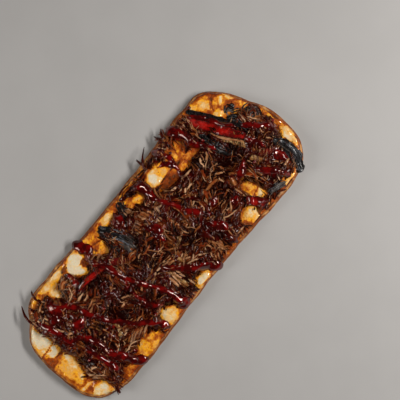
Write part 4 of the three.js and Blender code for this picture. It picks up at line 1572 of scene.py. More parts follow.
@dataclass
class Crust:
    """The baked base: a thin flatbread with a low, blistered rim."""

    steps: int = 720
    profile: tuple[Point, ...] = ((6, 0), (1.6, 0.5), (0, 3.4), (0.4, 7), (2.2, 9.1), (4.4, BED))
    underside: tuple[float, ...] = (60, 48, 36, 26, 18, 12, 8.5)
    bed: tuple[Point, ...] = ((7.0, BED - 0.1), (20.0, BED), (55.0, BED))

    def build(self) -> Piece:
        """Lofts the base from the middle of its underside round the rim to the bed.

        Returns:
            The piece.
        """
        edge = smooth_curve(np.array(self.profile, float), False, 26)
        beneath = [(inset, 0.0) for inset in self.underside]
        rim = Rim(self.steps)
        x, y = rim.points.T
        swell = 0.45 * Grain(13, 11).at(x, y) + EDGE_WOBBLE * waves(x, y, 24, 4)
        drift = 1.5 * Grain(15, 16, 3).at(x, y)
        share = 0.82 + 0.38 * Grain(24, 17).at(x, y)
        rings, baked = [], []
        for inset, z in np.vstack([beneath, edge, self.bed]):
            side = smoothstep(8 - inset, 0, 4)
            plan = rim.inside(inset + side * swell)
            bumps = 0.35 * Grain(5, 12).at(plan[:, 0] + 3 * z, plan[:, 1] - 3 * z)
            bumps += 0.16 * Grain(1.8, 13).at(plan[:, 0] + 3 * z, plan[:, 1] + 3 * z)
            plan = plan - rim.inward * (bumps * side)[:, None]
            rise = smoothstep(z, 5, 9) * side
            height = z + rise * (0.5 * Grain(16, 14).at(x, y) + 0.5 * bumps)
            height = height + (z < 0.01) * np.maximum(0.25 * Grain(7, 15).at(*plan.T), 0)
            rings.append(raised(plan, np.maximum(height, 0)))
            toast = share * np.exp(-(((z - 6.3 - drift) / 2.6) ** 2)) * side
            baked.append(0.12 + toast + 0.35 * rise * float(inset < 4))
        points, faces = loft(np.stack(rings))
        return mesh_piece("baked_crust", points, faces, baked=np.concatenate(baked))


@dataclass
class TomatoSauce:
    """The sheet of tomato sauce on the bed, which shows as a dark line inside the rim."""

    steps: int = 480
    edge: float = 3.5
    profile: tuple[Point, ...] = (
        (50, 8.25), (20, 8.25), (2, 8.25), (0.4, 8.3), (0, 8.7), (0.5, 9.1), (2, 9.15), (20, 9.15),
        (50, 9.15),
    )

    def build(self) -> Piece:
        """Lofts a thin sheet with an uneven edge.

        Returns:
            The piece.
        """
        rim = Rim(self.steps)
        edge = self.edge + 0.9 * Grain(9, 21).at(*rim.points.T)
        rings = [rim.ring(edge + inset, z) for inset, z in self.profile]
        return mesh_piece("tomato_sauce_layer", *loft(np.stack(rings)))


@dataclass
class Cheese:
    """The sheet of melted cheese, almost out to the rim, in patches from milky white to burnt."""

    steps: int = 700
    edge: float = 2.4
    lip: float = 3.4

    def baked(self, x: Array, y: Array) -> tuple[Array, Array]:
        """How far the cheese has baked, and how high its patches swell.

        Args:
            x: the X of points of the plan.
            y: their Y.

        Returns:
            The bake at each point, from white to burnt, and the swell in mm.
        """
        ragged = 4.2 * Grain(8, 31).at(x, y) + 2.2 * Grain(2.8, 32).at(x, y)
        bake = np.full(np.shape(x), MELTED)
        swell = np.zeros_like(x)
        for patch in PATCHES:
            size = min(patch.where.half_x, patch.where.half_y)
            soft = min(1.0, size / 5)
            away = patch.where.beyond(x, y) + ragged * soft
            inside = smoothstep(-away, -1.0 * soft, 1.1 * soft)
            bake = bake + (patch.tone.value - bake) * inside
            swell = np.maximum(swell, patch.swell * smoothstep(-away, -1.2, 3.2))
            # Narrow brown and burnt patches sink into creases; at the flap's edge and the folds their dark
            # is painted shade.
            if patch.tone in (Tone.BROWN, Tone.BURNT_AND_SHADED) and size < 2:
                swell = swell - 0.9 * inside
        stained = smoothstep(PLAN.heap_field(x, y) + 1.5 * Grain(6, 39).at(x, y), -2.8, 0.2)
        return bake + (Tone.OILY.value - bake) * 0.8 * stained, swell

    def build(self) -> Piece:
        """Lofts the sheet over its rings, closest together where the cheese shows.

        Returns:
            The piece.
        """
        rim = Rim(self.steps)
        x, y = rim.points.T
        edge = self.edge + 1.3 * Grain(8, 33).at(x, y) + 0.5 * Grain(3, 34).at(x, y)
        over = np.concatenate([np.linspace(0, 5, 11), np.linspace(5.8, 34, 34), np.linspace(37, 60, 8)])
        rings = [rim.ring(edge + inset, CHEESE_FLOOR - 0.3) for inset in (55.0, 20.0, 3.0, 0.6)]
        for inset in over:
            plan = rim.inside(edge + inset)
            px, py = plan.T
            swell = self.baked(px, py)[1]
            fine = 0.45 * Grain(7, 35).at(px, py) + 0.25 * Grain(3, 36).at(px, py)
            fine += 0.1 * Grain(1.4, 37).at(px, py)
            near = min(inset / self.lip, 1)
            rise = math.sqrt(near * (2 - near))
            top = PLAN.cheese_top(px, py) + (swell + fine) * (0.25 + 0.75 * rise)
            rings.append(raised(plan, CHEESE_FLOOR - 0.1 + (top - CHEESE_FLOOR + 0.1) * rise))
        points, faces = loft(np.stack(rings))
        x, y = points[:, 0], points[:, 1]
        near_rim = 1 - smoothstep(PLAN.inside_by(x, y), 2.2, 5.0)
        crisp = near_rim * smoothstep(Grain(9, 38).at(x, y), -0.35, 0.35)
        bake = self.baked(x, y)[0]
        return mesh_piece("melted_cheese", points, faces, bake=bake + (0.82 - bake) * 0.85 * crisp)


# How deep the furrows along each kind of topping are.
FURROWS = {Kind.RED_PEPPER: 0.3, Kind.CHARRED_PEPPER: 0.9, Kind.ONION: 0.4}


@dataclass
class Topping:
    """A flat topping: a curled slab with worn ends, wrinkled along its length."""

    plan: Slice
    steps: int = 54
    around: int = 44
    knots: int = 5
    margin: float = 0.9
    below: float = 0.2

    def line(self) -> Array:
        """Its middle line, resting on the heap, in even steps.

        Returns:
            Its points.
        """
        flat = self.plan.lie.points(self.knots)
        z = PLAN.ground(flat[:, 0], flat[:, 1]) + self.plan.lift - self.plan.thick / 2
        return smooth_curve(raised(flat, z), False, self.steps + 1)

    def half_widths(self, t: Array, side: int = 0) -> Array:
        """Half its width along its length, narrower at the ends, its two edges torn differently.

        Args:
            t: places along it, from 0 to 1.
            side: 1 or 2 for one of its edges, 0 for neither.

        Returns:
            The distance of the edge from the middle line at each place.
        """
        body = self.plan.width / 2 * (0.72 + 0.28 * np.sin(math.pi * t) ** 0.6)
        length = np.hypot(*np.subtract(self.plan.lie.end, self.plan.lie.start))
        ends = np.clip(np.minimum(t, 1 - t) / (0.30 * self.plan.width / length), 0, 1)
        torn = 1 + 0.38 * Grain(4.5, 41 + self.plan.number + 9 * side, 3).at(t * length, 0 * t)
        return body * np.sqrt(np.clip(ends * (2 - ends), 0.06, 1)) * torn

    def build(self) -> Piece:
        """Lofts the slab along its middle line, furrowed and dented.

        Returns:
            The piece.
        """
        line = self.line()
        side = leftward(line)
        t = np.linspace(0, 1, len(line))[:, None]
        length = np.linalg.norm(np.diff(line, axis=0), axis=1).sum()
        to_end = np.minimum(t, 1 - t) * length
        turn = np.linspace(0, 2 * math.pi, self.around, endpoint=False)
        across = np.sign(np.cos(turn)) * np.abs(np.cos(turn)) ** 0.75
        up = np.sign(np.sin(turn)) * np.abs(np.sin(turn)) ** 0.8
        width = across * np.where(across > 0, self.half_widths(t, 1), self.half_widths(t, 2))
        seed = 50 + 7 * self.plan.number + 3 * len(self.plan.kind.value)
        span = across * self.plan.width / 2
        furrows = Grain(1.3, seed + 2, 1).at(span, t * length / 14)
        bumps = 0.55 * Grain(3.4, seed).at(span, t * length / 3)
        bumps = bumps + 0.5 * Grain(4, seed + 1).at(span, t * length)
        bumps = bumps + FURROWS[self.plan.kind] * furrows * (up > 0)
        thick = self.plan.thick / 2 * (1 - 0.7 * across**2) * np.clip(to_end / 5 + 0.1, 0, 1) ** 0.5
        z = line[:, 2:] + 0.7 * self.plan.curl * across**2 + up * thick + bumps
        skew = 0.3 * math.sin(2.4 * seed) * np.column_stack([side[:, 1], -side[:, 0]])
        plan = line[:, None, :2] + (side + skew)[:, None, :] * width[..., None]
        points, faces = loft(raised(plan, z))
        masks = {
            "edge": np.maximum(np.abs(across) ** 3, 1 - np.clip(to_end / 4, 0, 1)),
            "streak": furrows,
            "across": span,
            "along": t * length,
            "roast": self.plan.roast + self.plan.fade * (0.5 - t) + 0.5 * (2 * t - 1) ** 2,
        }
        values = {name: np.broadcast_to(mask, z.shape).ravel() for name, mask in masks.items()}
        return mesh_piece(f"roasted_{self.plan.node}", points, faces, **values)

    def ceiling(self, x: Array, y: Array) -> Array:
        """How high a strand may lie so as to pass beneath the slab.

        Args:
            x: the X of points of the plan.
            y: their Y.

        Returns:
            The greatest height at each point, infinite clear of the slab.
        """
        line = self.line()
        half = self.half_widths(np.linspace(0, 1, len(line)))
        away = np.hypot(x[..., None] - line[:, 0], y[..., None] - line[:, 1])
        nearest = np.argmin(away, axis=-1)
        covered = np.take_along_axis(away, nearest[..., None], axis=-1)[..., 0] < half[nearest] + self.margin
        return np.where(covered, line[nearest, 2] - self.plan.thick / 2 - self.below, np.inf)


@dataclass(frozen=True)
class Bundles:
    """Shreds that lie side by side: how many bundles, and the least and the most of their sizes in mm."""

    count: int
    seed: int
    shreds: tuple[int, int]
    lengths: Point
    radii: Point
    spacing: Point
    levels: Point
    pale: float
    contrast: float


@dataclass(frozen=True)
class Singles:
    """Shreds that lie on their own: how many, and the least and the most of their sizes in mm.

    Their middles are deeper inside the heap than the margin. Turn is the spread of how far they bend, in
    radians, free the share of them whose ends stand up, and pale the share much paler than the beef around.
    """

    count: int
    seed: int
    margin: float
    lengths: Point
    radii: Point
    levels: Point
    turn: float
    free: float
    pale: float


COARSE = Bundles(330, 71, (2, 6), (10, 28), (0.6, 1.2), (1.7, 2.7), (-0.5, 1.7), 0.21, 0.22)
FINE = Bundles(330, 171, (3, 7), (8, 21), (0.28, 0.52), (1.0, 1.8), (0.2, 1.2), 0.37, 0.27)
CHUNKS = Singles(330, 73, 2.6, (10, 24), (1.5, 3.1), (-1.2, 0.9), 0.6, 0.0, 0.02)
LOOSE = Singles(420, 75, 1.2, (7, 20), (0.5, 1.1), (0.2, 2.4), 0.8, 0.25, 0.23)
THREADS = Singles(500, 77, 0.5, (5, 14), (0.26, 0.46), (0.8, 3.0), 1.2, 0.4, 0.46)


@dataclass
class PulledBeef:
    """The heap of pulled beef.

    A core lies under chunks, bundles of parallel shreds, loose shreds and strays over the edge. Over those
    drape fine bundles, locks, charred tatters, a few of them painted glints, and threads.
    """

    toppings: Sequence[Topping]
    core_cell: float = 1.15
    steps: int = 9
    lock_seed: int = 97
    stray_seed: int = 91

    def core(self) -> Piece:
        """The core: a relief over the heap's own outline, its foot sunk in the cheese.

        Returns:
            The piece.
        """
        cell = self.core_cell
        columns, rows = int(2 * REACH_X / cell), int(2 * REACH_Y / cell)
        i, j = np.meshgrid(np.arange(columns + 1), np.arange(rows + 1), indexing="ij")
        x = i * cell - REACH_X + 0.3 * cell * Grain(2.1, 61).at(i * cell, j * cell)
        y = j * cell - REACH_Y + 0.3 * cell * Grain(2.3, 62).at(i * cell, j * cell)
        inside = PLAN.heap_field(x, y)
        bumps = 0.9 * Grain(4.6, 63).at(x, y) + 0.55 * Grain(2.4, 64, 1).at(x, y)
        top = PLAN.heap_top(x, y) - 0.7 + bumps * smoothstep(inside, -1, 3)
        top = np.minimum(top, self.under_toppings(x, y) - 0.2)
        floor = CHEESE_FLOOR + 0.6
        top = np.maximum(top, floor + 0.2)
        points, faces = sheet(x, y, top, np.full(x.shape, floor), inside > -1)
        tint, sauce = self.colours(points[:, 0], points[:, 1])
        # The core shows only in the gaps between shreds: its tint is lowered as painted shade there, and its
        # glaze raised.
        dark = np.clip(tint - 0.30, 0, 0.6)
        return mesh_piece("beef_core", points, faces, tint=dark, sauce=np.clip(sauce + 0.25, 0, 1))

    def under_toppings(self, x: Array, y: Array) -> Array:
        """How high beef may lie so as to pass beneath the toppings.

        Args:
            x: the X of points of the plan.
            y: their Y.

        Returns:
            The greatest height at each point, infinite clear of the toppings.
        """
        lowest = np.full(np.shape(x), np.inf)
        for topping in self.toppings:
            ends = np.array([topping.plan.lie.start, topping.plan.lie.end], float)
            reach = topping.plan.width + abs(topping.plan.lie.bow) + 3
            near = (x > ends[:, 0].min() - reach) & (x < ends[:, 0].max() + reach)
            near &= (y > ends[:, 1].min() - reach) & (y < ends[:, 1].max() + reach)
            lowest[near] = np.minimum(lowest[near], topping.ceiling(x[near], y[near]))
        return lowest

    def nearest_clump(self, x: Array, y: Array, draw: Array) -> Array:
        """Which clump each point belongs to, blurred between two of them.

        Args:
            x: the points' X.
            y: the points' Y.
            draw: a random value from 0 to 1 for each.

        Returns:
            The clumps' numbers.
        """
        centres = np.array([(clump.x, clump.y) for clump in CLUMPS])
        away = np.hypot(x[:, None] - centres[:, 0], y[:, None] - centres[:, 1])
        order = np.argsort(away, axis=1)
        first, second = order[:, 0], order[:, 1]
        rows = np.arange(len(x))
        share = away[rows, first] / (away[rows, first] + away[rows, second] + 1e-6)
        return np.where(draw < 1.1 * (share - 0.3), second, first)

    def colours(self, x: Array, y: Array) -> tuple[Array, Array]:
        """The tint and the glaze of beef.

        Args:
            x: the X of points of the plan.
            y: their Y.

        Returns:
            The tint at each point, from burnt to dry, and how wet with sauce it is.
        """
        shape = np.shape(x)
        x, y = np.ravel(x), np.ravel(y)
        centres = np.array([(clump.x, clump.y, clump.shade.value) for clump in CLUMPS])
        weight = 1 / (1 + (np.hypot(x[:, None] - centres[:, 0], y[:, None] - centres[:, 1]) / 7) ** 4)
        tint = (weight * centres[:, 2]).sum(axis=1) / weight.sum(axis=1)
        wet = np.zeros_like(x)
        for pour in POURS:
            path = smooth_curve(np.array(pour.through, float), False, 30)
            away = (np.hypot(x[:, None] - path[:, 0], y[:, None] - path[:, 1]) - path[:, 2] / 2).min(axis=1)
            wet = np.maximum(wet, smoothstep(-away, -4.5, 0))
        for pool in POOLS:
            wet = np.maximum(wet, smoothstep(-pool.beyond(x, y), -4, 0))
        soaked = 0.85 * smoothstep(Grain(12, 45).at(x, y), 0.0, 0.4)
        return tint.reshape(shape), np.maximum(wet, soaked).reshape(shape)

    def scattered(self, count: int, margin: float, seed: int) -> tuple[Array, Array]:
        """Even but random-looking places inside the heap.

        Args:
            count: the most of them.
            margin: how deep inside the heap they are at least.
            seed: the seed of their draws.

        Returns:
            Their X and their Y.
        """
        rng = np.random.default_rng(seed)
        start = rng.uniform(0, 1, 2)
        number = np.arange(6 * count)
        x = -REACH_X + 2 * REACH_X * ((start[0] + number * EVEN_STEPS[0]) % 1)
        y = -REACH_Y + 2 * REACH_Y * ((start[1] + number * EVEN_STEPS[1]) % 1)
        x, y = x + rng.normal(0, 1.2, x.size), y + rng.normal(0, 1.2, y.size)
        inside = np.flatnonzero(PLAN.heap_field(x, y) > margin)[:count]
        return x[inside], y[inside]

    def laid(self, paths: Array, level: Array, arch: Array, sink: Array, radius: Array) -> Array:
        """Lays strands on the heap, beneath the toppings.

        Args:
            paths: their points on the plan.
            level: how high above the heap each lies.
            arch: how much higher its middle is.
            sink: how much lower its ends are.
            radius: its radius at each point.

        Returns:
            The points with their heights.
        """
        x, y = paths[..., 0], paths[..., 1]
        t = np.linspace(-1, 1, x.shape[1])
        z = PLAN.ground(x, y) + level[:, None] + arch[:, None] * (1 - t**2) - sink[:, None] * np.abs(t) ** 3
        return raised(paths, np.minimum(z, self.under_toppings(x, y) - radius.max(axis=1, keepdims=True)))

    def trimmed(self, paths: Array, over: float) -> Array:
        """Shortens strands that overhang a window.

        Args:
            paths: their points on the plan.
            over: how far past the edge of the heap they may reach.

        Returns:
            As many points for each, nearer together.
        """
        count, steps = paths.shape[:2]
        inside = PLAN.heap_field(paths[..., 0], paths[..., 1]) > -over
        middle = steps // 2
        kept = np.empty_like(paths)
        for k in range(count):
            low = middle
            while low > 0 and inside[k, low - 1]:
                low -= 1
            high = middle
            while high < steps - 1 and inside[k, high + 1]:
                high += 1
            spots = np.linspace(low, max(high, low + 1), steps)
            for axis in (0, 1):
                kept[k, :, axis] = np.interp(spots, np.arange(steps), paths[k, :, axis])
        return kept

    def curved(
        self, x: Array, y: Array, angle: Array, length: Array, bend: Array, rng: np.random.Generator
    ) -> Array:
        """Paths that start out straight through their middles and bend evenly, with a little waver.

        Args:
            x: the middles' X.
            y: the middles' Y.
            angle: the way of each at its middle, in radians.
            length: the length of each.
            bend: how far each turns from end to end, in radians.
            rng: the source of the waver.

        Returns:
            An array of paths by points by 2.
        """
        fine = 2 * self.steps - 1
        t = np.linspace(-1, 1, fine)
        swings = np.array([np.sin(2.2 * t), np.cos(4.1 * t) - 1, np.sin(6.3 * t)])
        waver = rng.normal(0, 0.17, (len(x), 3)) @ swings
        heading = angle[:, None] + bend[:, None] / 2 * t + waver
        step = length[:, None] / (fine - 1)
        dx, dy = np.cos(heading) * step, np.sin(heading) * step
        px, py = np.cumsum(dx, axis=1), np.cumsum(dy, axis=1)
        middle = fine // 2
        px, py = px - px[:, [middle]] + x[:, None], py - py[:, [middle]] + y[:, None]
        return np.stack([px, py], axis=-1)[:, ::2]

    def thickness(self, radius: Array, rng: np.random.Generator) -> Array:
        """Radii along strands: uneven, and drawn out at the ends.

        Args:
            radius: the radius of each.
            rng: the source of the unevenness.

        Returns:
            The radius at each of their points.
        """
        t = np.abs(np.linspace(-1, 1, self.steps))
        tip = rng.uniform(0.15, 0.6, (len(radius), 1))
        ends = 1 - (1 - tip) * t**3
        return radius[:, None] * ends * rng.uniform(0.68, 1.3, (len(radius), self.steps))

    def paler(self, share: float, spread: float, count: int, rng: np.random.Generator) -> Array:
        """How much paler each strand is than the beef around: a share of them much, the others less."""
        pale = rng.uniform(0, 1, count) < share
        return (np.where(pale, 0.46, -0.14) + rng.normal(0, spread, count))[:, None]

    def bundled(self, plan: Bundles) -> Strands:
        """Shreds that lie side by side in bundles, as the clumps do.

        Args:
            plan: their number and sizes.

        Returns:
            The strands.
        """
        rng = np.random.default_rng(plan.seed)
        cx, cy = self.scattered(plan.count, 1.6, plan.seed + 1)
        count = len(cx)
        clump = self.nearest_clump(cx, cy, rng.uniform(0, 1, count))
        angles = np.radians([CLUMPS[k].angle for k in clump]) + rng.normal(0, 0.48, count)
        shades = np.array([CLUMPS[k].shade.value for k in clump]) + rng.normal(0, 0.12, count)
        length = rng.uniform(*plan.lengths, count)
        bend = rng.normal(0, 0.6, count)
        level = rng.uniform(*plan.levels, count) + 1.6 * (shades - 0.5)
        arch = rng.uniform(0.2, 1.5, count)
        size = rng.integers(*plan.shreds, count)
        spacing = rng.uniform(*plan.spacing, count)
        which = np.repeat(np.arange(count), size)
        rank = np.concatenate([np.arange(n) - (n - 1) / 2 for n in size])
        offset = rank * spacing[which] + rng.normal(0, 0.18, which.size)
        shift = rng.normal(0, 0.10, which.size) * length[which]
        angle = angles[which] + rank * rng.normal(0, 0.035, count)[which]
        x = cx[which] - np.sin(angles[which]) * offset + np.cos(angles[which]) * shift
        y = cy[which] + np.cos(angles[which]) * offset + np.sin(angles[which]) * shift
        own_length = length[which] * rng.uniform(0.65, 1.1, which.size)
        paths = self.trimmed(self.curved(x, y, angle, own_length, bend[which], rng), 2.5)
        radius = self.thickness(rng.uniform(*plan.radii, which.size), rng)
        own_level = level[which] - 0.16 * (rank / 1.5) ** 2 + rng.normal(0, 0.2, which.size)
        points = self.laid(paths, own_level, arch[which], rng.uniform(0.8, 2.2, which.size), radius)
        local, sauce = self.colours(paths[..., 0], paths[..., 1])
        tint = 0.65 * shades[which][:, None] + 0.35 * local
        tint = tint + self.paler(plan.pale, plan.contrast, which.size, rng)
        return Strands(points, radius, rng.uniform(-0.5, 0.5, (which.size, 1)), tint, sauce)

    def single(self, plan: Singles) -> Strands:
        """Shreds or threads that lie on their own.

        Args:
            plan: their number and sizes.

        Returns:
            The strands.
        """
        rng = np.random.default_rng(plan.seed)
        x, y = self.scattered(plan.count, plan.margin, plan.seed + 1)
        count = len(x)
        clump = self.nearest_clump(x, y, rng.uniform(0, 1, count))
        angle = np.radians([CLUMPS[k].angle for k in clump]) + rng.normal(0, 0.75, count)
        length, bend = rng.uniform(*plan.lengths, count), rng.normal(0, plan.turn, count)
        paths = self.trimmed(self.curved(x, y, angle, length, bend, rng), 4.5)
        radius = self.thickness(rng.uniform(*plan.radii, count), rng)
        up = rng.uniform(0, 1, count) < plan.free
        sink = np.where(up, rng.uniform(-1.6, 0.2, count), rng.uniform(0.6, 2.4, count))
        level, arch = rng.uniform(*plan.levels, count), rng.uniform(0, 1.4, count)
        points = self.laid(paths, level, arch, sink, radius)
        local, sauce = self.colours(paths[..., 0], paths[..., 1])
        tint = local + self.paler(plan.pale, 0.20, count, rng)
        return Strands(points, radius, rng.uniform(-0.9, 0.9, (count, 1)), tint, sauce)

    def locks(self, given: Sequence[Lock], relief: Relief) -> Strands:
        """The shreds that stand out on top of the heap, in their locks.

        Args:
            given: the locks.
            relief: what they drape over.

        Returns:
            The strands.
        """
        rng = np.random.default_rng(self.lock_seed)
        along = np.linspace(-1, 1, self.steps)
        lots, radii, tints = [], [], []
        for lock in given:
            line = smooth_curve(lock.lie.points(3), False, self.steps)
            ahead = line[-1] - line[0]
            side = np.array([-ahead[1], ahead[0]]) / np.hypot(*ahead)
            for rank in np.arange(lock.count) - (lock.count - 1) / 2:
                fan = 1 + rng.normal(0, 0.12) * along[:, None]
                waver = rng.normal(0, 0.25, (self.steps, 2)).cumsum(axis=0)
                moved = ahead * rng.normal(0, 0.05) + side * rng.normal(0, 0.3)
                lots.append(line + side * rank * lock.spacing * fan + moved + waver - waver.mean(axis=0))
                radii.append(lock.thick / 2 * rng.uniform(0.8, 1.15))
                tints.append(lock.shade + rng.normal(0, 0.07))
        paths = np.stack(lots)
        radius = self.thickness(np.array(radii), rng)
        z = relief.draped(paths, 0.25 * radius.max(axis=1)) - 0.9 * np.abs(along) ** 4
        tilt = rng.uniform(-0.6, 0.6, (len(paths), 1))
        return Strands(raised(paths, z), radius, tilt, np.array(tints)[:, None], 0.25)

    def strays(self) -> Strands:
        """The long shreds that hang over the cheese or past the rim, each with a frayed companion.

        Returns:
            The strands.
        """
        rng = np.random.default_rng(self.stray_seed)
        lots = []
        for stray in STRAYS:
            for side in (0.0, 0.9):
                lie = stray.points(self.steps - 1) + side * rng.normal(0, 0.8, 2)
                lie += np.linspace(-1, 1, self.steps)[:, None] * side * rng.normal(0, 1.0, 2)
                z = np.maximum(PLAN.cheese_top(*lie.T) + 1.7, PLAN.heap_top(*lie.T) + 0.6) - side * 0.5
                past = np.maximum(1.0 - PLAN.inside_by(*lie.T), 0)
                lots.append(raised(lie, z - 0.45 * past - 0.04 * past**2))
        radius = self.thickness(np.where(np.arange(len(lots)) % 2, 0.65, 1.15), rng)
        return Strands(np.stack(lots), radius, 0.0, 0.16, 0.5)

    def build(self, finish: Material, plain: Material, charred: Material, relief: Relief) -> None:
        """Builds the heap from the core up.

        Args:
            finish: the material of its shreds.
            plain: that of its core.
            charred: that of its charred shreds and painted glints.
            relief: what lies uppermost, which each layer but the core and the threads is added to.
        """

        def lay(name: str, strands: Strands, look: Material, *section: float) -> None:
            """Sweeps strands, puts them on the pizza and adds them to the relief."""
            as_pizza(strands.swept(name, look, *section), look, "pulled_beef")
            relief.cover_strands(strands)

        as_pizza(self.core(), plain, "pulled_beef")
        lay("beef_chunks", self.single(CHUNKS), finish, 16, 0.55, 0.62)
        lay("beef_bundles", self.bundled(COARSE), finish, 8, 0.6, 0.5)
        lay("beef_loose_shreds", self.single(LOOSE), finish, 9, 0.55, 0.5)
        lay("beef_strays", self.strays(), finish, 9, 0.7, 0.4)
        fine = self.bundled(FINE)
        fine.points[..., 2] = relief.draped(fine.points[..., :2], 0.2)
        lay("beef_fine_bundles", fine, finish, 5, 0.8, 0.3)
        lay("beef_locks", self.locks(LOCKS, relief), finish, 12, 0.6, 0.5)
        lay("beef_tatters", self.locks(ASH_AND_GLINTS, relief), charred, 12, 0.6, 0.5)
        threads = self.single(THREADS)
        over = relief.draped(threads.points[..., :2], 0.0)
        threads.points[..., 2] = np.maximum(threads.points[..., 2], over)
        as_pizza(threads.swept("beef_threads", finish, 5, 0.8, 0.2), finish, "pulled_beef")


@dataclass
class BarbecueSauce:
    """Thick barbecue sauce: strokes, puddles and spatters in one skin, soaked in among what they lie on."""

    cell: float = 0.5
    reach_x: float = 176.0
    reach_y: float = 72.0
    sunk: float = 0.8
    crown: float = 0.55
    lift: float = 0.45
    skin: float = 1.2
    foot: float = 0.4
    sag: int = 30
    x: Array = field(init=False)
    y: Array = field(init=False)
    depth: Array = field(init=False)

    def __post_init__(self) -> None:
        """Starts with no sauce anywhere on the plan."""
        columns, rows = int(2 * self.reach_x / self.cell), int(2 * self.reach_y / self.cell)
        x = np.arange(columns + 1) * self.cell - self.reach_x
        y = np.arange(rows + 1) * self.cell - self.reach_y
        self.x, self.y = np.meshgrid(x, y, indexing="ij")
        self.depth = np.full(self.x.shape, -self.sunk)

    def cells(self, middle: float, reach: float) -> slice:
        """The cells within reach of a place, both measured from the grid's edge."""
        return slice(max(int((middle - reach) / self.cell), 0), int((middle + reach) / self.cell) + 2)

    def blob(self, x: float, y: float, radius: float, height: float) -> None:
        """Adds a round blob, its skin running on below what it lies on.

        Args:
            x: its middle's X.
            y: its middle's Y.
            radius: its radius.
            height: its height.
        """
        reach = radius + self.sunk
        near = self.cells(x + self.reach_x, reach), self.cells(y + self.reach_y, reach)
        away = np.hypot(self.x[near] - x, self.y[near] - y)
        dome = height * np.sqrt(np.clip(1 - (away / radius) ** 2, 0, 1)) + np.minimum(0, radius - away)
        self.depth[near] = np.maximum(self.depth[near], dome)

    def stroke(self, pour: Pour, number: int) -> None:
        """Adds a poured stroke, beaded and wavering as it sank in, with spatters beside it.

        Args:
            pour: the stroke.
            number: its number among them.
        """
        rng = np.random.default_rng(100 + number)
        rough = smooth_curve(np.array(pour.through, float), False, 60)
        length = np.linalg.norm(np.diff(rough[:, :2], axis=0), axis=1).sum()
        path = smooth_curve(rough, False, int(length / 0.6))
        along = np.linspace(0, length, len(path))
        waver = 1.1 * Grain(8, 110 + number).at(along, 0 * along)
        beads = 0.95 + 0.4 * Grain(7, 130 + number).at(along, 0 * along)
        ends = np.clip(np.minimum(along, length - along) / 4 + 0.25, 0, 1) ** 0.6
        radii = path[:, 2] / 2 * np.clip(beads, 0.35, 1.5) * ends
        for (x, y), radius in zip(path[:, :2] + leftward(path) * waver[:, None], radii):
            self.blob(x, y, radius, self.crown * min(radius, 3.2))
        for _ in range(int(0.07 * length)):
            x, y, wide = path[rng.integers(0, len(path))]
            spot = np.array([x, y]) + rng.normal(0, 1, 2) * (wide / 2 + 2.5)
            if PLAN.inside_by(*spot) > 3:
                radius = rng.uniform(0.6, 1.6)
                self.blob(*spot, radius, self.crown * radius)

    def puddle(self, pool: Oval, number: int) -> None:
        """Adds a flat puddle with an uneven outline."""
        away = pool.beyond(self.x, self.y) + 1.3 * Grain(4.5, 150 + number).at(self.x, self.y)
        self.depth = np.maximum(self.depth, np.clip(-away, -self.sunk, 1.1))

    def outlined(self, kept: Array) -> tuple[Array, Array]:
        """Moves the sauce's outermost points out to its own smooth outline.

        Args:
            kept: which points of the grid the skin covers.

        Returns:
            The grid's X and Y.
        """
        slope_x, slope_y = np.gradient(self.depth)
        steep = np.hypot(slope_x, slope_y) + 1e-6
        padded = np.pad(kept, 1)
        whole = padded[:-2, 1:-1] & padded[2:, 1:-1] & padded[1:-1, :-2] & padded[1:-1, 2:]
        whole &= padded[:-2, :-2] & padded[2:, :-2] & padded[:-2, 2:] & padded[2:, 2:]
        out = np.where(kept & ~whole, np.minimum(self.depth + self.sunk, self.cell), 0)
        return self.x - slope_x / steep * out, self.y - slope_y / steep * out

    def build(self, relief: Relief) -> Piece:
        """Pours the sauce and makes its skin.

        Args:
            relief: what it lies on, which sags between its peaks here.

        Returns:
            The piece.
        """
        for number, pour in enumerate(POURS):
            self.stroke(pour, number)
        for number, pool in enumerate(POOLS):
            self.puddle(pool, number)
        below = relief.at(self.x, self.y) - self.foot
        relief.fill(1)
        relief.soften(self.sag)
        depth = blurred(self.depth, 3)
        top = relief.at(self.x, self.y) + depth + self.lift
        kept = self.depth > -self.sunk + 0.02
        bottom = np.minimum(top - self.skin - np.maximum(depth, 0), below)
        return mesh_piece("barbecue_sauce", *sheet(*self.outlined(kept), top, bottom, kept))


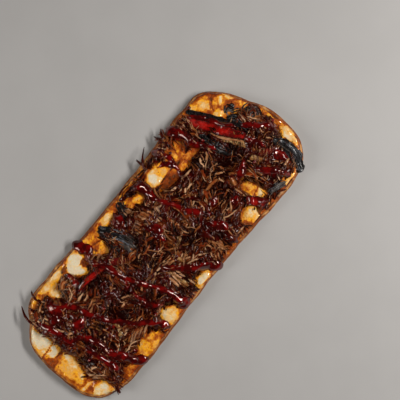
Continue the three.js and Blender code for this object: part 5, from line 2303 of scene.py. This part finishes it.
@dataclass
class Studio:
    """The floor, the soft light and the camera straight above."""

    floor_size: float = 3.0
    floor_level: float = -0.0002
    look_at: Point = (55.9, -3.0)
    camera_height: float = 878.0
    camera_turn: float = -50.0
    field_of_view: float = 26.0
    sensor: float = 36.0
    light_colour: Colour = (1.0, 0.95, 0.90)
    air_colour: Colour = (1.0, 0.90, 0.80)
    air_strength: float = 0.025

    def build(self) -> None:
        """Builds the studio."""
        half, level = self.floor_size / 2, self.floor_level
        corners = [(-half, -half, level), (half, -half, level), (half, half, level), (-half, half, level)]
        mesh = bpy.data.meshes.new("studio_floor")
        mesh.from_pydata(corners, [], [(0, 1, 2, 3)])
        mesh.materials.append(SteadyFinish("floor_grey", specular=0.2, shade=0.33).material())
        floor = linked("studio_floor", mesh)
        world = bpy.data.worlds.new("studio_world")
        world.use_nodes = True
        world.node_tree.nodes["Background"].inputs["Color"].default_value = rgba(self.air_colour)
        world.node_tree.nodes["Background"].inputs["Strength"].default_value = self.air_strength
        bpy.context.scene.world = world
        bpy.context.scene.view_settings.view_transform = "Standard"
        self.light("key_light", (0.66, -0.50, 0.88), (0.8, 0.14), 18.0)
        self.light("fill_light", (-0.70, 0.62, 0.66), (0.5, 0.5), 7.5)
        self.camera()

    def light(self, name: str, place: tuple[float, float, float], size: Point, power: float) -> None:
        """Adds a soft light that points at the pizza.

        Args:
            name: its name.
            place: where it is, in metres.
            size: its width and height, in metres.
            power: its power.
        """
        data = bpy.data.lights.new(name, "AREA")
        data.shape = "RECTANGLE"
        data.size, data.size_y = size
        data.energy = power
        data.color = self.light_colour
        lamp = linked(name, data)
        lamp.location = place
        lamp.rotation_euler = lamp.location.to_track_quat("Z", "Y").to_euler()

    def camera(self) -> None:
        """Adds the camera, straight above a point beside the pizza and turned as the photo is."""
        data = bpy.data.cameras.new("camera")
        data.sensor_width = self.sensor
        data.lens = self.sensor / 2 / math.tan(math.radians(self.field_of_view / 2))
        camera = linked("camera", data)
        x, y = (value + shift for value, shift in zip(self.look_at, SHIFT))
        camera.location = (x * MM, y * MM, self.camera_height * MM)
        camera.rotation_euler = (0, 0, math.radians(self.camera_turn))
        bpy.context.scene.camera = camera


def main() -> None:
    """Builds the studio and the pizza, from the base up."""
    logging.basicConfig(level=logging.INFO, format="%(name)s: %(message)s")
    Studio().build()
    dough = CrustFinish("baked_dough", 0.3, GOLDEN_GLEAM, glow=0.08).material()
    as_pizza(Crust().build(), dough, "crust")
    tomato = TomatoFinish("cooked_tomato", coat=0.3).material()
    as_pizza(TomatoSauce().build(), tomato, "tomato_sauce")
    melted = CheeseFinish("melted_cheese", 0.3, GOLDEN_GLEAM, coat=0.6, coat_roughness=0.07, glow=0.2)
    as_pizza(Cheese().build(), melted.material(), "cheese")

    toppings = [Topping(plan) for plan in SLICES]
    looks = {
        Kind.RED_PEPPER: PepperFinish("roasted_pepper", 0.15, RED_GLEAM, coat=0.9, coat_roughness=0.06),
        Kind.CHARRED_PEPPER: CharFinish("charred_skin", 0.15, coat=0.3, coat_roughness=0.07),
        Kind.ONION: OnionFinish("soft_onion", 0.3, GOLDEN_GLEAM, coat=0.5, glow=0.1),
    }
    finishes = {kind: look.material() for kind, look in looks.items()}
    relief = Relief()
    for topping in toppings:
        kind = topping.plan.kind
        piece = as_pizza(topping.build(), finishes[kind], topping.plan.node)
        relief.cover(np.array([vertex.co for vertex in piece.data.vertices]) / MM - SHIFT)

    beef = BeefFinish("pulled_beef", 0.14, BROWN_GLEAM, coat_roughness=0.07).material()
    under = BeefFinish("beef_in_sauce", 0.10, BROWN_GLEAM, coat_roughness=0.07, threads=False).material()
    # Black to ash grey; its palest grey paints glints on a few tatters.
    charred = BeefFinish(
        "charred_shreds_and_glints", 0.2, coat_roughness=0.07, burnt=(0.002, 0.001, 0.001), dark=(0.009, 0.006, 0.005),
        brown=(0.034, 0.027, 0.024), rust=(0.042, 0.025, 0.017), tan=(0.10, 0.086, 0.076),
        dry=(0.28, 0.25, 0.235), sauce=(0.004, 0.002, 0.002),
    ).material()
    PulledBeef(toppings).build(beef, under, charred, relief)
    sauce = SauceFinish("barbecue_glaze", 0.3, BROWN_GLEAM, coat=0.8, coat_roughness=0.06).material()
    as_pizza(BarbecueSauce().build(relief), sauce, "pulled_beef")


if __name__ == "__main__":
    main()
